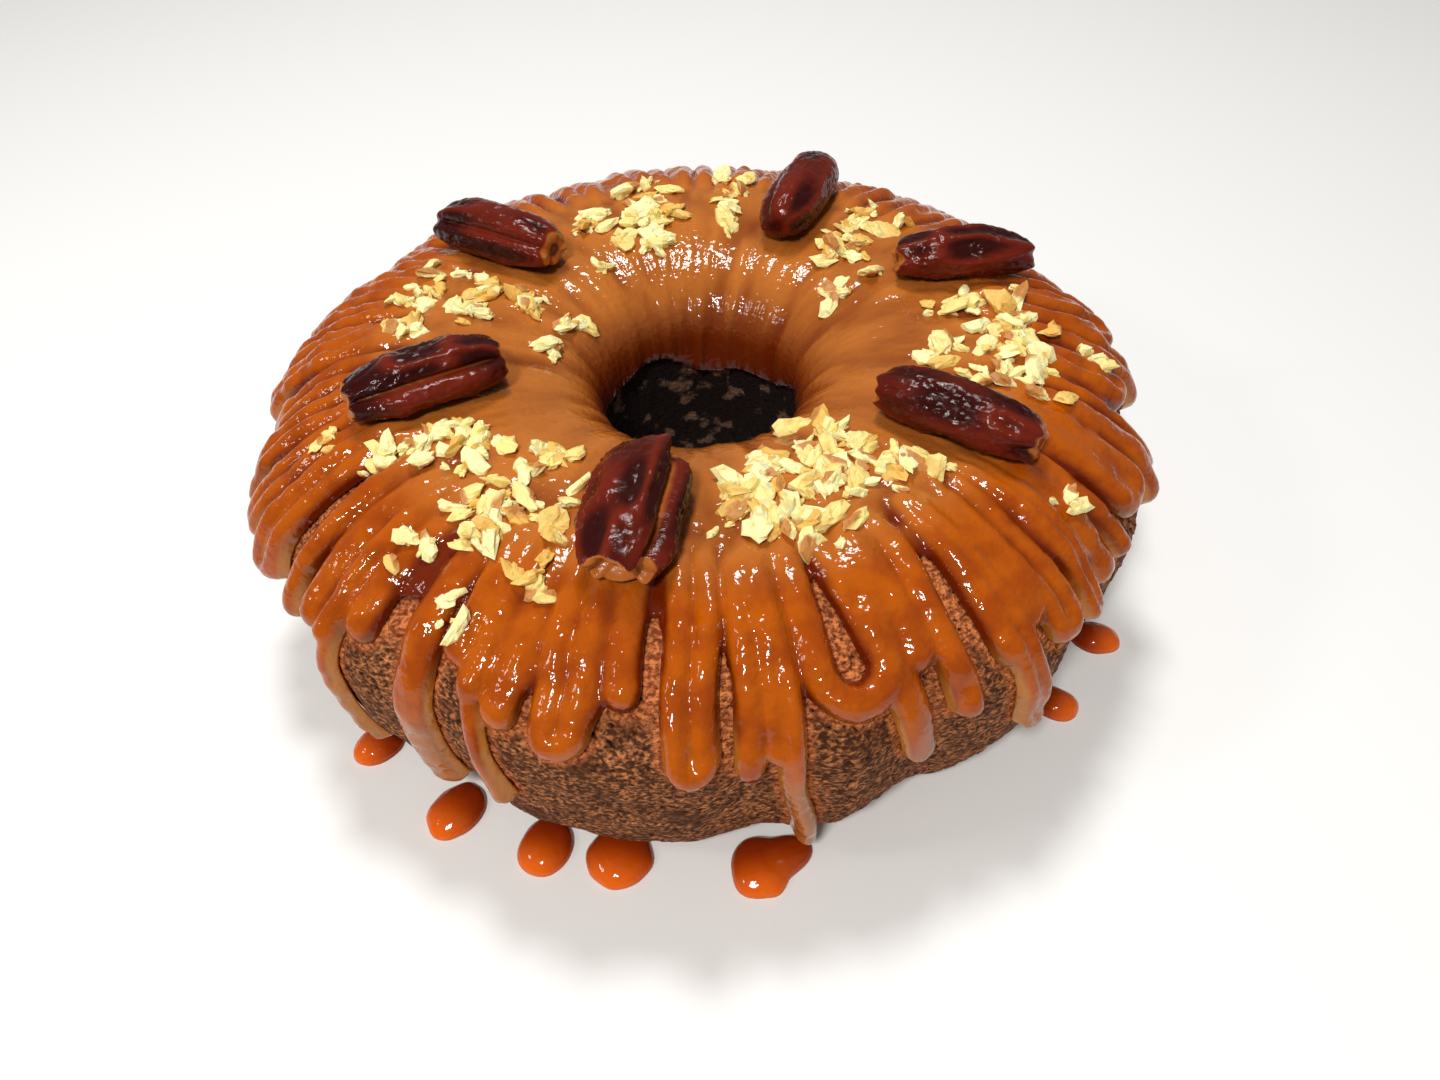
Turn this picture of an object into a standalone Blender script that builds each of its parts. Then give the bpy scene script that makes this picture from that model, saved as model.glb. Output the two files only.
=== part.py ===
# A ring cake: a lobed crumb body, a coat of drizzled caramel with chopped nuts set in it,
# six pitted dates lying across the crest, and drops of caramel round the foot.
# Metres, +Z up. The origin is on the cake's axis at the level it stands on, and -Y is the front.
# A place on the cake is an angle about the axis and a distance along the profile from the crest,
# positive down the outside and negative into the hole.
import math

import bmesh
import bpy
import numpy as np

mm = 0.001
degree = math.pi / 180
gap = 0.3 * mm

# crumb body
hole_radius = 30.0 * mm
hole_flare = 2.5 * mm
waist_height = 47.0 * mm
crest_radius = 73.5 * mm
crest_height = 72.0 * mm
widest_radius = 121.0 * mm
widest_height = 46.0 * mm
foot_radius = 104.0 * mm
inner_power = 2.5
outer_power = 1.8
lower_power = 1.9
lobe_depth = 4.5 * mm
lobe_width = 6.0 * degree
lobe_start = 15.0 * mm
lobe_fade = 45.0 * mm
lobe_valleys = [-176, -149, -122, -84, -65, -37, -8, 24, 55, 83, 118, 150]

# caramel coat and its drizzled ropes
coat_clearance = 0.45 * mm
coat_thickness = 2.6 * mm
coat_edge_height = 1.2 * mm
coat_inner_reach = 60.0 * mm
coat_outer_reach = 26.0 * mm
coat_edge = 4.0 * mm
coat_thinning = 0.5
coat_thin_reach = 22.0 * mm
# waves of the coat's two edges: count round the cake, depth and start
coat_inner_waves = [(3, 3.0 * mm, 1.0), (7, 1.5 * mm, 0.0)]
coat_outer_waves = [(5, 4.0 * mm, 0.0), (11, 3.0 * mm, 2.0)]
# tongues and bays of the coat's outer edge: angle and half width in degrees, where the edge lies there,
# and how far the coat fills the creases between the ropes
coat_tongues = [
    (-169, 6, 44, 0.3), (-157, 4.5, 46, 0.4), (-140, 4, 40, 0.3), (-113, 5.5, 43, 0.6), (-104, 4, 46, 0.4),
    (-83.3, 4, 50, 0.3), (-66, 2.4, 44, 0.5), (-51.5, 4.5, 46, 1.0), (-38.5, 4.5, 48, 0.8), (-25, 4, 46, 1.0),
    (-5, 9, 42, 0.3), (30, 12, 40, 0.3), (70, 14, 44, 0.3), (110, 12, 42, 0.3), (150, 14, 45, 0.3),
    (-150, 1.2, 20, 0), (-96.5, 1.2, 20, 0), (-73, 2.6, 9, 0), (-58.3, 2, 19, 0), (-33, 0.7, 22, 0),
    (-29.6, 0.8, 22, 0)]
coat_fill = 0.9
rope_height = 4.0 * mm
rope_share = (0.8, 1.15)
rope_start = -4.0 * mm
rope_fade = 16.0 * mm
rope_lean_reach = 35.0 * mm
rope_wander = 0.5 * mm
rope_wander_size = 7.0 * mm
outline_blend = 0.6 * mm
blend_limit = 40
depth_power = 6

# ropes seen from the front: angle in degrees, reach past the crest and whole width in millimetres,
# the open loop's width between the middles of its two arms, and the drift aside for each step down
front_ropes = [
    (-176, 58, 13, 0, 0), (-168.5, 61, 13, 0, 0), (-161.5, 60, 12, 0, 0), (-154.5, 62, 13, 0, 0),
    (-146, 60, 8, 0, 0), (-140.5, 53, 10, 0, 0), (-136.5, 52, 7, 0, 0), (-132.5, 47, 10, 0, 0),
    (-124, 92, 10, 0, 0), (-119, 42, 8, 0, 0), (-116, 47, 8, 0, 0), (-112, 50, 9, 0, 0),
    (-111.5, 72, 6, 0, 0.36), (-105.5, 53, 14, 0, 0), (-99.3, 41, 8.5, 0, 0), (-91.5, 56.5, 12.5, 0, 0),
    (-85.3, 59, 7.5, 0, 0), (-82, 56, 9, 0, 0), (-79, 95, 6, 0, 0.13), (-72.9, 48, 24.5, 15.5, 0),
    (-65.5, 44, 9, 0, 0), (-66, 68, 9.5, 0, 0.2), (-61.7, 58, 8, 0, 0), (-55, 50, 8, 0, 0), (-52, 74, 9, 0, 0.1),
    (-46.7, 54, 13, 0, 0), (-40.2, 58, 9, 0, 0), (-35.3, 57, 9.5, 0, 0), (-31.5, 55, 7, 0, 0),
    (-24.5, 51, 18, 0, 0), (-17.8, 60, 9, 0, 0)]
# ropes round the back: first, last and count of their angles, and the ranges their sizes are drawn from
back_rope_angles = (-13.0, 177.0, 29)
back_rope_jitter = 1.2
back_rope_reach = (48.0, 66.0)
back_rope_width = (11.5, 15.0)
back_rope_lean = 0.08
back_rope_seed = 11

# dates: angle and radius of the middle, turn from radial in degrees, length, width and height
dates = [
    ("date_1", -101.0, 73.0, 0.0, 43, 25, 15),
    ("date_2", -162.0, 72.0, 8.0, 43, 21, 15),
    ("date_3", 142.0, 73.0, 8.0, 44, 20, 16),
    ("date_4", 63.0, 71.0, 4.0, 43, 19, 16),
    ("date_5", 20.0, 80.0, -16.0, 42, 19, 14),
    ("date_6", -34.0, 75.0, 2.0, 44, 19, 15)]
date_around = 12
date_along = 7
date_power = 2.7
date_crease = 0.2
date_crease_angle = 35.0 * degree
date_crease_width = 22.0 * degree
date_sag = 0.5
date_rest = 0.42
date_clearance = 1.0 * mm
date_footing = 3.0 * mm
crest_probe = (-45, 60, 211)

# caramel drops at the foot: angle, radius of the middle, radial and sideways half sizes
pools = [
    ("caramel_pool_1", -139.3, 118.0, 7.5, 6.0),
    ("caramel_pool_2", -123.8, 117.5, 9.0, 7.2),
    ("caramel_pool_3", -111.0, 116.5, 8.5, 7.2),
    ("caramel_pool_4", -101.7, 114.5, 8.5, 8.6),
    ("caramel_pool_5", -84.5, 116.6, 9.0, 7.6),
    ("caramel_pool_6", -37.2, 118.0, 7.0, 5.4),
    ("caramel_pool_7", -24.0, 121.0, 7.5, 5.6)]
pool_height = 4.2 * mm
pool_around = 11
pool_rings = 3

# chopped nuts: middle angle, half spread in degrees, middle and spread past the crest, count
nut_clusters = [
    (-155, 2.5, -15, 5, 1), (-151, 8, 3, 9, 7), (-141, 5, -4, 5, 3), (-160, 3, 23.5, 1.5, 2),
    (-133, 1.5, 23, 4, 1), (-126, 4, -14, 5, 2), (-127, 6, 3, 7, 4), (-125.5, 5, 13, 2, 2),
    (-116.5, 3, -6, 5, 1), (-114, 1.5, 4, 3, 1), (-119.5, 1, 33, 3, 1), (-112.5, 1, 16, 1, 1),
    (-84, 5, -5, 6, 3), (-73, 7, -17, 9, 5), (-73, 6, 0, 6, 4), (-60, 6, -10, 9, 5),
    (-51, 6, -18, 7, 4), (-51, 2, -5, 6, 1), (-43, 4, 0, 6, 3), (-35, 1, 22, 6, 2),
    (-13, 7, 10, 7, 6), (-12, 5, -8, 5, 2), (-5, 1, 36, 1, 1), (-2, 5, 12, 10, 4),
    (6, 5, -4, 6, 2), (10, 6, 12, 6, 3), (18, 2, 3, 5, 1), (25, 3, -3, 3, 1),
    (30, 4, -27, 3, 1), (30, 4, -13, 3, 1), (43, 4, -14, 5, 3), (52, 5, -11, 6, 4),
    (46, 7, 2, 6, 4), (79, 3, -9, 5, 2), (81, 3, 3, 5, 2), (98, 3, -12, 4, 1),
    (107, 8, -20, 4, 3), (106, 5, -8, 4, 2), (127, 3, -23, 2, 1), (119, 5, -6, 4, 2),
    (102, 5, 3, 4, 2), (156, 5, -34, 2, 1), (155, 7, -21, 3, 3), (161, 7, -9, 4, 4),
    (150, 3, 1, 5, 2), (160, 7, 7, 6, 4), (176, 3, -32, 2, 1), (173, 3, 7, 4, 2)]
nut_seed = 5
nut_tries = 60
nut_scatter = 0.6
nut_points = 10
nut_hull = (0.75, 1.0)
nut_lift = 0.3
nut_length = (7.5, 13.0)
nut_breadth = (5.5, 8.5)
nut_depth = (3.4, 5.2)
nut_spacing = 5.5 * mm
nut_margin = 1.0 * mm
nut_edge = 40 * degree

# grids: columns round the cake, and rows along the profile in millimetres
body_columns = 60
body_slope_rows = (-50, 110, 15)
coat_ridge_level = 35.0 * mm
coat_nearest = 1.5
coat_widest = 4.6
coat_inner_rows = (-72, 16, 9)
coat_outer_rows = (25, 95, 11)
facet_sink = 0.2
corner_passes = 6
snap_probe = 0.3 * mm
snap_step = 1.5 * mm
snap_flattest = 0.3
snap_limit = 0.45


def clear_scene():
    for item in list(bpy.data.objects):
        bpy.data.objects.remove(item, do_unlink=True)


def make_material(name, color, roughness):
    material = bpy.data.materials.new(name)
    material.use_nodes = True
    shader = material.node_tree.nodes["Principled BSDF"]
    shader.inputs["Base Color"].default_value = (*color, 1.0)
    shader.inputs["Roughness"].default_value = roughness
    shader.inputs["Metallic"].default_value = 0.0
    return material


def make_object(name, points, faces, material):
    mesh = bpy.data.meshes.new(name)
    mesh.from_pydata([tuple(point) for point in points], [], faces)
    mesh.materials.append(material)
    mesh.shade_smooth()
    item = bpy.data.objects.new(name, mesh)
    bpy.context.scene.collection.objects.link(item)
    return item


def ease(value):
    # smooth step from 0 to 1
    value = np.clip(value, 0.0, 1.0)
    return value * value * (3.0 - 2.0 * value)


def quarter(power, count=160):
    # a quarter of a superellipse: cos^(2/n) and sin^(2/n) over a quarter turn
    turn = np.linspace(0.0, math.pi / 2, count)
    return np.cos(turn) ** (2 / power), np.sin(turn) ** (2 / power)


def make_profile():
    # hole wall, inner slope up to the crest, outer slope down to the widest ring, tuck in to the foot
    wall_height = np.linspace(0.0, waist_height, 60)[:-1]
    wall = (hole_radius + hole_flare * (1.0 - wall_height / waist_height) ** 2, wall_height)
    level, rise = quarter(inner_power)
    inner = (crest_radius - (crest_radius - hole_radius) * level,
             waist_height + (crest_height - waist_height) * rise)
    level, rise = quarter(outer_power)
    outer = (crest_radius + (widest_radius - crest_radius) * rise,
             widest_height + (crest_height - widest_height) * level)
    level, rise = quarter(lower_power)
    lower = (foot_radius + (widest_radius - foot_radius) * level, widest_height * (1.0 - rise))
    radius = np.concatenate([wall[0], inner[0][:-1], outer[0][:-1], lower[0]])
    height = np.concatenate([wall[1], inner[1][:-1], outer[1][:-1], lower[1]])
    step = np.hypot(np.diff(radius), np.diff(height))
    length = np.concatenate([[0.0], np.cumsum(step)])
    length = length - length[np.argmax(height)]
    along_radius = np.gradient(radius, length)
    along_height = np.gradient(height, length)
    size = np.hypot(along_radius, along_height)
    return length, radius, height, -along_height / size, along_radius / size


profile = make_profile()

hole_end = profile[0][0]
foot_end = profile[0][-1]


def bend_allowance(along, cell):
    # how far a flat facet as long as a cell sinks under the profile's arc, from the turn of its normal
    here, ahead, behind = (np.stack([np.interp(along + side, profile[0], row) for row in profile[3:]])
                           for side in (0.0, cell, -cell))
    turn = np.maximum(np.linalg.norm(ahead - here, axis=0), np.linalg.norm(here - behind, axis=0))
    return turn * cell * facet_sink


def make_valleys():
    # 1 along the middle of each groove between two lobes, falling to 0 on the lobes, at each column
    angle = np.linspace(-math.pi, math.pi, body_columns + 1)
    depth = np.zeros_like(angle)
    for middle in lobe_valleys:
        offset = (angle - middle * degree + math.pi) % (2 * math.pi) - math.pi
        depth = np.maximum(depth, np.exp(-(offset / lobe_width) ** 2))
    return angle, depth


valleys = make_valleys()


def cake_points(angle, along, lift):
    # profile point, moved out along its normal by the lift, its lobes pulled in below the shoulder
    radius, height, out_radius, out_height = (np.interp(along, profile[0], row) for row in profile[1:])
    turned = (angle + math.pi) % (2 * math.pi) - math.pi
    pull = lobe_depth * np.interp(turned, *valleys) * ease((along - lobe_start) / lobe_fade)
    radius = radius - pull + out_radius * lift
    height = height + out_height * lift
    return np.stack([radius * np.cos(angle), radius * np.sin(angle), height], axis=-1)


def wrap_angle(angle):
    # the same angle between half a turn back and half a turn on
    return (angle + math.pi) % (2 * math.pi) - math.pi


def make_ropes():
    # the named ropes at the front and a seeded run of them round the back, each with its share of the height
    draw = np.random.RandomState(back_rope_seed)
    rows = list(front_ropes)
    for middle in np.linspace(*back_rope_angles):
        width = draw.uniform(*back_rope_width)
        angle = middle + draw.uniform(-1, 1) * back_rope_jitter
        reach = draw.uniform(*back_rope_reach)
        rows.append((angle, reach, width, 0, draw.uniform(-1, 1) * back_rope_lean))
    draw = np.random.RandomState(back_rope_seed + 1)
    return [(angle * degree, reach * mm, width * mm / 2, loop * mm / 2, lean,
             draw.uniform(*rope_share), draw.uniform(0, 2 * math.pi))
            for angle, reach, width, loop, lean in rows]


ropes = make_ropes()


def coat_span(angle):
    # where the plain coat ends in the hole and on the outer slope, and how far it fills the creases there
    inner, outer = (sum(depth * np.sin(count * angle + start) for count, depth, start in waves)
                    for waves in (coat_inner_waves, coat_outer_waves))
    outer = outer + coat_outer_reach
    fill = 0.0 * angle
    for middle, half, edge, filled in coat_tongues:
        share = np.exp(-(wrap_angle(angle - middle * degree) / (half * degree)) ** 4)
        outer = outer + share * (edge * mm - outer)
        fill = fill + share * (filled - fill)
    return inner - coat_inner_reach, outer, fill


def round_top(inside, half):
    # half-round section: 0 at the edge, 1 from half the width inwards
    level = 1.0 - np.clip(inside / half, 0.0, 1.0)
    return np.sqrt(1.0 - level ** 2)


def rope_inside(rope, angle, along, radius):
    # depth inside the rope's arm, and the arm's half width: the arm's middle line is a U as wide as the loop
    middle, length, half, loop, lean, _, phase = rope
    across = wrap_angle(angle - middle) * radius + lean * np.clip(length - along, 0.0, rope_lean_reach)
    across = across + rope_wander * np.sin(along / rope_wander_size + phase)
    to_line = np.abs(np.hypot(across, np.maximum(along - (length - half), 0.0)) - loop)
    return half - loop - np.hypot(to_line, np.maximum(rope_start - along, 0.0)), half - loop


def caramel(angle, along):
    # how far a place lies inside the caramel's outline, and how thick the caramel is there
    start, end, fill = coat_span(angle)
    inside = np.minimum(along - start, end - along)
    reach = np.exp(np.clip(inside / outline_blend, -blend_limit, blend_limit))
    thinned = coat_thickness * (1.0 - (coat_thinning - coat_fill * fill) * ease(along / coat_thin_reach))
    depth = (thinned * round_top(inside, coat_edge)) ** depth_power
    radius = np.interp(along, profile[0], profile[1])
    for rope in ropes:
        inside, arm = rope_inside(rope, angle, along, radius)
        rise = rope[5] * rope_height * ease((along - rope_start) / rope_fade)
        reach = reach + np.exp(np.clip(inside / outline_blend, -blend_limit, blend_limit))
        depth = depth + (rise * round_top(inside, arm)) ** depth_power
    return outline_blend * np.log(reach), depth ** (1 / depth_power)


def top_height(points):
    # height of the caramel's surface under each point, read along the profile through it
    along = np.linspace(*crest_probe) * mm
    angle = np.arctan2(points[:, 1], points[:, 0])
    radius = np.hypot(points[:, 0], points[:, 1])
    grid_angle, grid_along = np.meshgrid(angle, along, indexing="ij")
    lift = coat_clearance + caramel(grid_angle, grid_along)[1]
    surface = cake_points(grid_angle, grid_along, lift)
    reach = np.hypot(surface[..., 0], surface[..., 1])
    return np.array([np.interp(r, row, level) for r, row, level in zip(radius, reach, surface[..., 2])])


def highest_near(x, y):
    # the highest caramel under a point and its neighbours a date's footing away
    steps = [(0, 0), (date_footing, 0), (-date_footing, 0), (0, date_footing), (0, -date_footing)]
    return np.max([top_height(np.stack([x + aside, y + ahead], -1)) for aside, ahead in steps], axis=0)


def grid_faces(rows, columns):
    # triangles of a grid whose columns close round the axis, and whose rows run out over the crest
    faces = []
    for row in range(rows - 1):
        for column in range(columns):
            after = (column + 1) % columns
            here, there = row * columns, (row + 1) * columns
            faces.append((here + column, there + column, there + after))
            faces.append((here + column, there + after, here + after))
    return faces


def build_body(material):
    # two rows on the hole's wall, even rows over the crest, one at the foot, and a flat underside
    wall = np.array([hole_end, hole_end + waist_height])
    slope = np.linspace(*body_slope_rows) * mm
    along = np.concatenate([wall, slope, [foot_end]])
    angle = np.linspace(-math.pi, math.pi, body_columns, endpoint=False)
    grid_along, grid_angle = np.meshgrid(along, angle, indexing="ij")
    points = cake_points(grid_angle, grid_along, 0.0)
    rows = len(along)
    faces = grid_faces(rows, body_columns)
    for column in range(body_columns):
        after = (column + 1) % body_columns
        last = (rows - 1) * body_columns
        faces.append((last + column, column, after, last + after))
    return make_object("cake_body", points.reshape(-1, 3), faces, material)


def covered_cells(reach):
    # cells of the coat's grid whose middle is under caramel, with none left touching at one corner
    middle = (reach[:-1] + reach[1:]) / 2
    middle = (middle + np.roll(middle, -1, axis=1)) / 2
    keep = middle > 0
    keep[0], keep[-1] = False, False
    for _ in range(corner_passes):
        left = np.roll(keep, 1, axis=1)
        rising = keep[1:] & left[:-1] & ~keep[:-1] & ~left[1:]
        falling = keep[:-1] & left[1:] & ~keep[1:] & ~left[:-1]
        keep[:-1] |= rising
        keep[1:] |= falling
    return keep


def snap_to_outline(angle, along, free, cell, spacing):
    # moves the free corners onto the caramel's outline by Newton steps, at most half a cell
    first_angle, first_along = angle, along
    for _ in range(4):
        radius = np.interp(along, profile[0], profile[1])
        reach = caramel(angle, along)[0]
        aside = (caramel(angle + snap_probe / radius, along)[0] - reach) / snap_probe
        ahead = (caramel(angle, along + snap_probe)[0] - reach) / snap_probe
        move = -reach / np.maximum(aside ** 2 + ahead ** 2, snap_flattest) * free
        angle = angle + np.clip(move * aside, -snap_step, snap_step) / radius
        along = along + np.clip(move * ahead, -snap_step, snap_step)
    turn, stretch = snap_limit * spacing, snap_limit * cell
    angle = first_angle + np.clip(angle - first_angle, -turn, turn)
    along = first_along + np.clip(along - first_along, -stretch, stretch)
    return angle, along


def coat_angles():
    # columns on each rope's ridge and in the creases between them, and more where these lie far apart
    radius = float(np.interp(coat_ridge_level, profile[0], profile[1]))
    ridges = []
    for middle, length, half, loop, lean, _, phase in ropes:
        drift = lean * min(max(length - coat_ridge_level, 0.0), rope_lean_reach)
        drift += rope_wander * math.sin(coat_ridge_level / rope_wander_size + phase)
        for side in ((-loop, loop) if loop else (0.0,)):
            ridges.append(((middle + (side - drift) / radius) / degree, (half - loop) / radius / degree))
    ridges = sorted((wrap_angle(angle * degree) / degree, half) for angle, half in ridges)
    angles = []
    for place, (angle, half) in enumerate(ridges):
        after, other = ridges[(place + 1) % len(ridges)]
        after += 360 * (place + 1 == len(ridges))
        angles += [angle, angle + (after - angle) * half / (half + other)]
    kept = [angles[0]]
    for angle in angles[1:]:
        if angle - kept[-1] > coat_nearest:
            kept.append(angle)
    spread = []
    for angle, after in zip(kept, kept[1:] + [kept[0] + 360]):
        parts = math.ceil((after - angle) / coat_widest)
        spread += [angle + (after - angle) * part / parts for part in range(parts)]
    return np.sort(wrap_angle(np.array(spread) * degree))


def build_coat(material):
    # an outer sheet, an inner sheet and a low wall round every edge, on the covered cells of a grid
    rows = np.concatenate([np.linspace(*coat_inner_rows), np.linspace(*coat_outer_rows)]) * mm
    columns = coat_angles()
    coat_columns = len(columns)
    along, angle = np.meshgrid(rows, columns, indexing="ij")
    keep = covered_cells(caramel(angle, along)[0])
    used = np.zeros(along.shape, int)
    for down in (0, 1):
        for over in (0, 1):
            used[down:len(rows) - 1 + down] += np.roll(keep, over, axis=1)
    border = (used > 0) & (used < 4)
    cell = np.gradient(rows)[:, None]
    ahead = wrap_angle(np.roll(columns, -1) - columns)
    spacing = np.minimum(ahead, np.roll(ahead, 1))
    angle, along = snap_to_outline(angle, along, border, cell, spacing)
    thickness = np.maximum(caramel(angle, along)[1], coat_edge_height)
    thickness[border] = coat_edge_height
    sag = bend_allowance(along, cell)
    outer = cake_points(angle, along, coat_clearance + sag + thickness).reshape(-1, 3)
    inner = cake_points(angle, along, coat_clearance + sag).reshape(-1, 3)
    count, faces = len(outer), []
    for row, column in zip(*np.nonzero(keep)):
        after = (column + 1) % coat_columns
        a, b = row * coat_columns + column, (row + 1) * coat_columns + column
        c, d = (row + 1) * coat_columns + after, row * coat_columns + after
        faces += [(a, b, c), (a, c, d), (count + c, count + b, count + a), (count + d, count + c, count + a)]
        sides = [(keep[row - 1, column], d, a), (keep[row + 1, column], b, c),
                 (keep[row, column - 1], a, b), (keep[row, after], c, d)]
        for neighbour, first, second in sides:
            if not neighbour:
                faces += [(first, count + first, count + second), (first, count + second, second)]
    corners = sorted({corner for face in faces for corner in face})
    place = {corner: index for index, corner in enumerate(corners)}
    points = np.concatenate([outer, inner])[corners]
    faces = [tuple(place[corner] for corner in face) for face in faces]
    return make_object("caramel_icing", points, faces, material)


def near_date(point, margin):
    # true where a nut would come too close to a date
    for _, turn, radius, skew, length, width, _ in dates:
        middle = np.array([math.cos(turn * degree), math.sin(turn * degree)]) * radius * mm
        heading = np.array([math.cos((turn + skew) * degree), math.sin((turn + skew) * degree)])
        offset = point[:2] - middle
        forward = abs(offset @ heading)
        aside = abs(offset[0] * heading[1] - offset[1] * heading[0])
        if forward < length * mm / 2 + margin and aside < width * mm / 2 + margin:
            return True
    return False


def make_nuts():
    # place, turn and size of each chip, kept apart from the dates and from one another
    draw = np.random.RandomState(nut_seed)
    nuts = []
    for middle, spread, ring, depth, count in nut_clusters:
        placed, tries = 0, 0
        while placed < count and tries < nut_tries:
            tries += 1
            angle = (middle + draw.uniform(-1, 1) * spread) * degree
            along = (ring + draw.normal() * depth * nut_scatter) * mm
            sides = [draw.uniform(*nut_length), draw.uniform(*nut_breadth), draw.uniform(*nut_depth)]
            size = np.array(sides) * mm / 2
            turn = draw.uniform(0, 2 * math.pi)
            spot = cake_points(np.array(angle), np.array(along), 0.0)
            crowded = any(np.linalg.norm(spot - other[0]) < nut_spacing for other in nuts)
            if crowded or near_date(spot, size[0] + nut_margin):
                continue
            nuts.append((spot, angle, along, size, turn))
            placed += 1
    return nuts


def nut_frame(angle, along, turn):
    # the surface's own axes at a place on the caramel, turned about its normal
    out_radius, out_height = (np.interp(along, profile[0], row) for row in profile[3:])
    normal = np.array([out_radius * math.cos(angle), out_radius * math.sin(angle), out_height])
    aside = np.array([-math.sin(angle), math.cos(angle), 0.0])
    forward = np.cross(aside, normal)
    first = forward * math.cos(turn) + aside * math.sin(turn)
    second = np.cross(normal, first)
    return np.stack([first, second, normal])


def build_nut(number, nut, material):
    # a chip is the hull of a few points drawn on an ellipsoid, part sunk in the caramel
    spot, angle, along, size, turn = nut
    draw = np.random.RandomState(nut_seed + 100 + number)
    cloud = draw.normal(size=(nut_points, 3))
    cloud = cloud / np.linalg.norm(cloud, axis=1)[:, None] * draw.uniform(*nut_hull, (nut_points, 1))
    thickness = max(float(caramel(np.array(angle), np.array(along))[1]), coat_edge_height)
    top = cake_points(np.array(angle), np.array(along), coat_clearance + thickness)
    axes = nut_frame(angle, along, turn)
    points = top + axes[2] * size[2] * nut_lift + (cloud * size) @ axes
    chip = bmesh.new()
    for point in points:
        chip.verts.new(point)
    hull = bmesh.ops.convex_hull(chip, input=chip.verts)
    bmesh.ops.delete(chip, geom=[v for v in hull["geom_interior"] if v.is_valid], context="VERTS")
    bmesh.ops.recalc_face_normals(chip, faces=chip.faces)
    mesh = bpy.data.meshes.new("nut")
    chip.to_mesh(mesh)
    chip.free()
    mesh.materials.append(material)
    return bpy.data.objects.new("nut_%03d" % number, mesh)


def drop_scraps(mesh):
    # keep the largest connected body
    solid = bmesh.new()
    solid.from_mesh(mesh)
    unseen = set(solid.verts)
    bodies = []
    while unseen:
        body, front = set(), [unseen.pop()]
        while front:
            vert = front.pop()
            body.add(vert)
            near = [edge.other_vert(vert) for edge in vert.link_edges]
            front += [other for other in near if other in unseen]
            unseen.difference_update(near)
        bodies.append(body)
    bodies.sort(key=len)
    for body in bodies[:-1]:
        bmesh.ops.delete(solid, geom=list(body), context="VERTS")
    solid.to_mesh(mesh)
    solid.free()


def fuse_nuts(coat, material):
    # one union of the coat and every chip, then loose scraps are dropped
    chips = bpy.data.collections.new("nuts")
    bpy.context.scene.collection.children.link(chips)
    for number, nut in enumerate(make_nuts()):
        chips.objects.link(build_nut(number, nut, material))
    union = coat.modifiers.new("nuts", "BOOLEAN")
    union.operation = "UNION"
    union.operand_type = "COLLECTION"
    union.collection = chips
    union.solver = "MANIFOLD"
    graph = bpy.context.evaluated_depsgraph_get()
    fused = bpy.data.meshes.new_from_object(coat.evaluated_get(graph))
    coat.modifiers.clear()
    coat.data = fused
    for chip in list(chips.objects):
        bpy.data.objects.remove(chip, do_unlink=True)
    bpy.data.collections.remove(chips)
    drop_scraps(fused)
    fused.shade_smooth()
    fused.set_sharp_from_angle(angle=nut_edge)


def build_date(name, turn, radius, skew, length, width, height, material):
    # a blunt pod with a slit along one side, its underside laid on the caramel
    around = np.linspace(0.0, 2 * math.pi, date_around, endpoint=False)
    share = np.sin(np.linspace(-math.pi / 2, math.pi / 2, date_along + 1))[1:-1]
    full = (1.0 - np.abs(share) ** date_power) ** (1 / date_power)
    slit = 1.0 - date_crease * np.exp(-((around - date_crease_angle) / date_crease_width) ** 2)
    forward = share[:, None] * length * mm / 2 + 0 * around
    aside = full[:, None] * np.cos(around) * slit * width * mm / 2
    upward = full[:, None] * np.sin(around) * slit * height * mm / 2
    ends = np.array([[-length * mm / 2, 0.0, 0.0], [length * mm / 2, 0.0, 0.0]])
    local = np.concatenate([np.stack([forward, aside, upward], -1).reshape(-1, 3), ends])
    heading = (turn + skew) * degree
    middle = np.array([math.cos(turn * degree), math.sin(turn * degree)]) * radius * mm
    x = middle[0] + local[:, 0] * math.cos(heading) - local[:, 1] * math.sin(heading)
    y = middle[1] + local[:, 0] * math.sin(heading) + local[:, 1] * math.cos(heading)
    rest = top_height(np.stack([middle[0] + local[:, 0] * math.cos(heading),
                                middle[1] + local[:, 0] * math.sin(heading)], -1))
    z = date_sag * rest + (1.0 - date_sag) * rest.max() + date_rest * height * mm + local[:, 2]
    z = np.maximum(z, highest_near(x, y) + date_clearance)
    rings = len(share)
    faces = grid_faces(rings, date_around)
    first, last, final = rings * date_around, rings * date_around + 1, (rings - 1) * date_around
    for side in range(date_around):
        after = (side + 1) % date_around
        faces.append((first, side, after))
        faces.append((last, final + after, final + side))
    faces = [tuple(reversed(face)) for face in faces]
    return make_object(name, np.stack([x, y, z], -1), faces, material)


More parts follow.
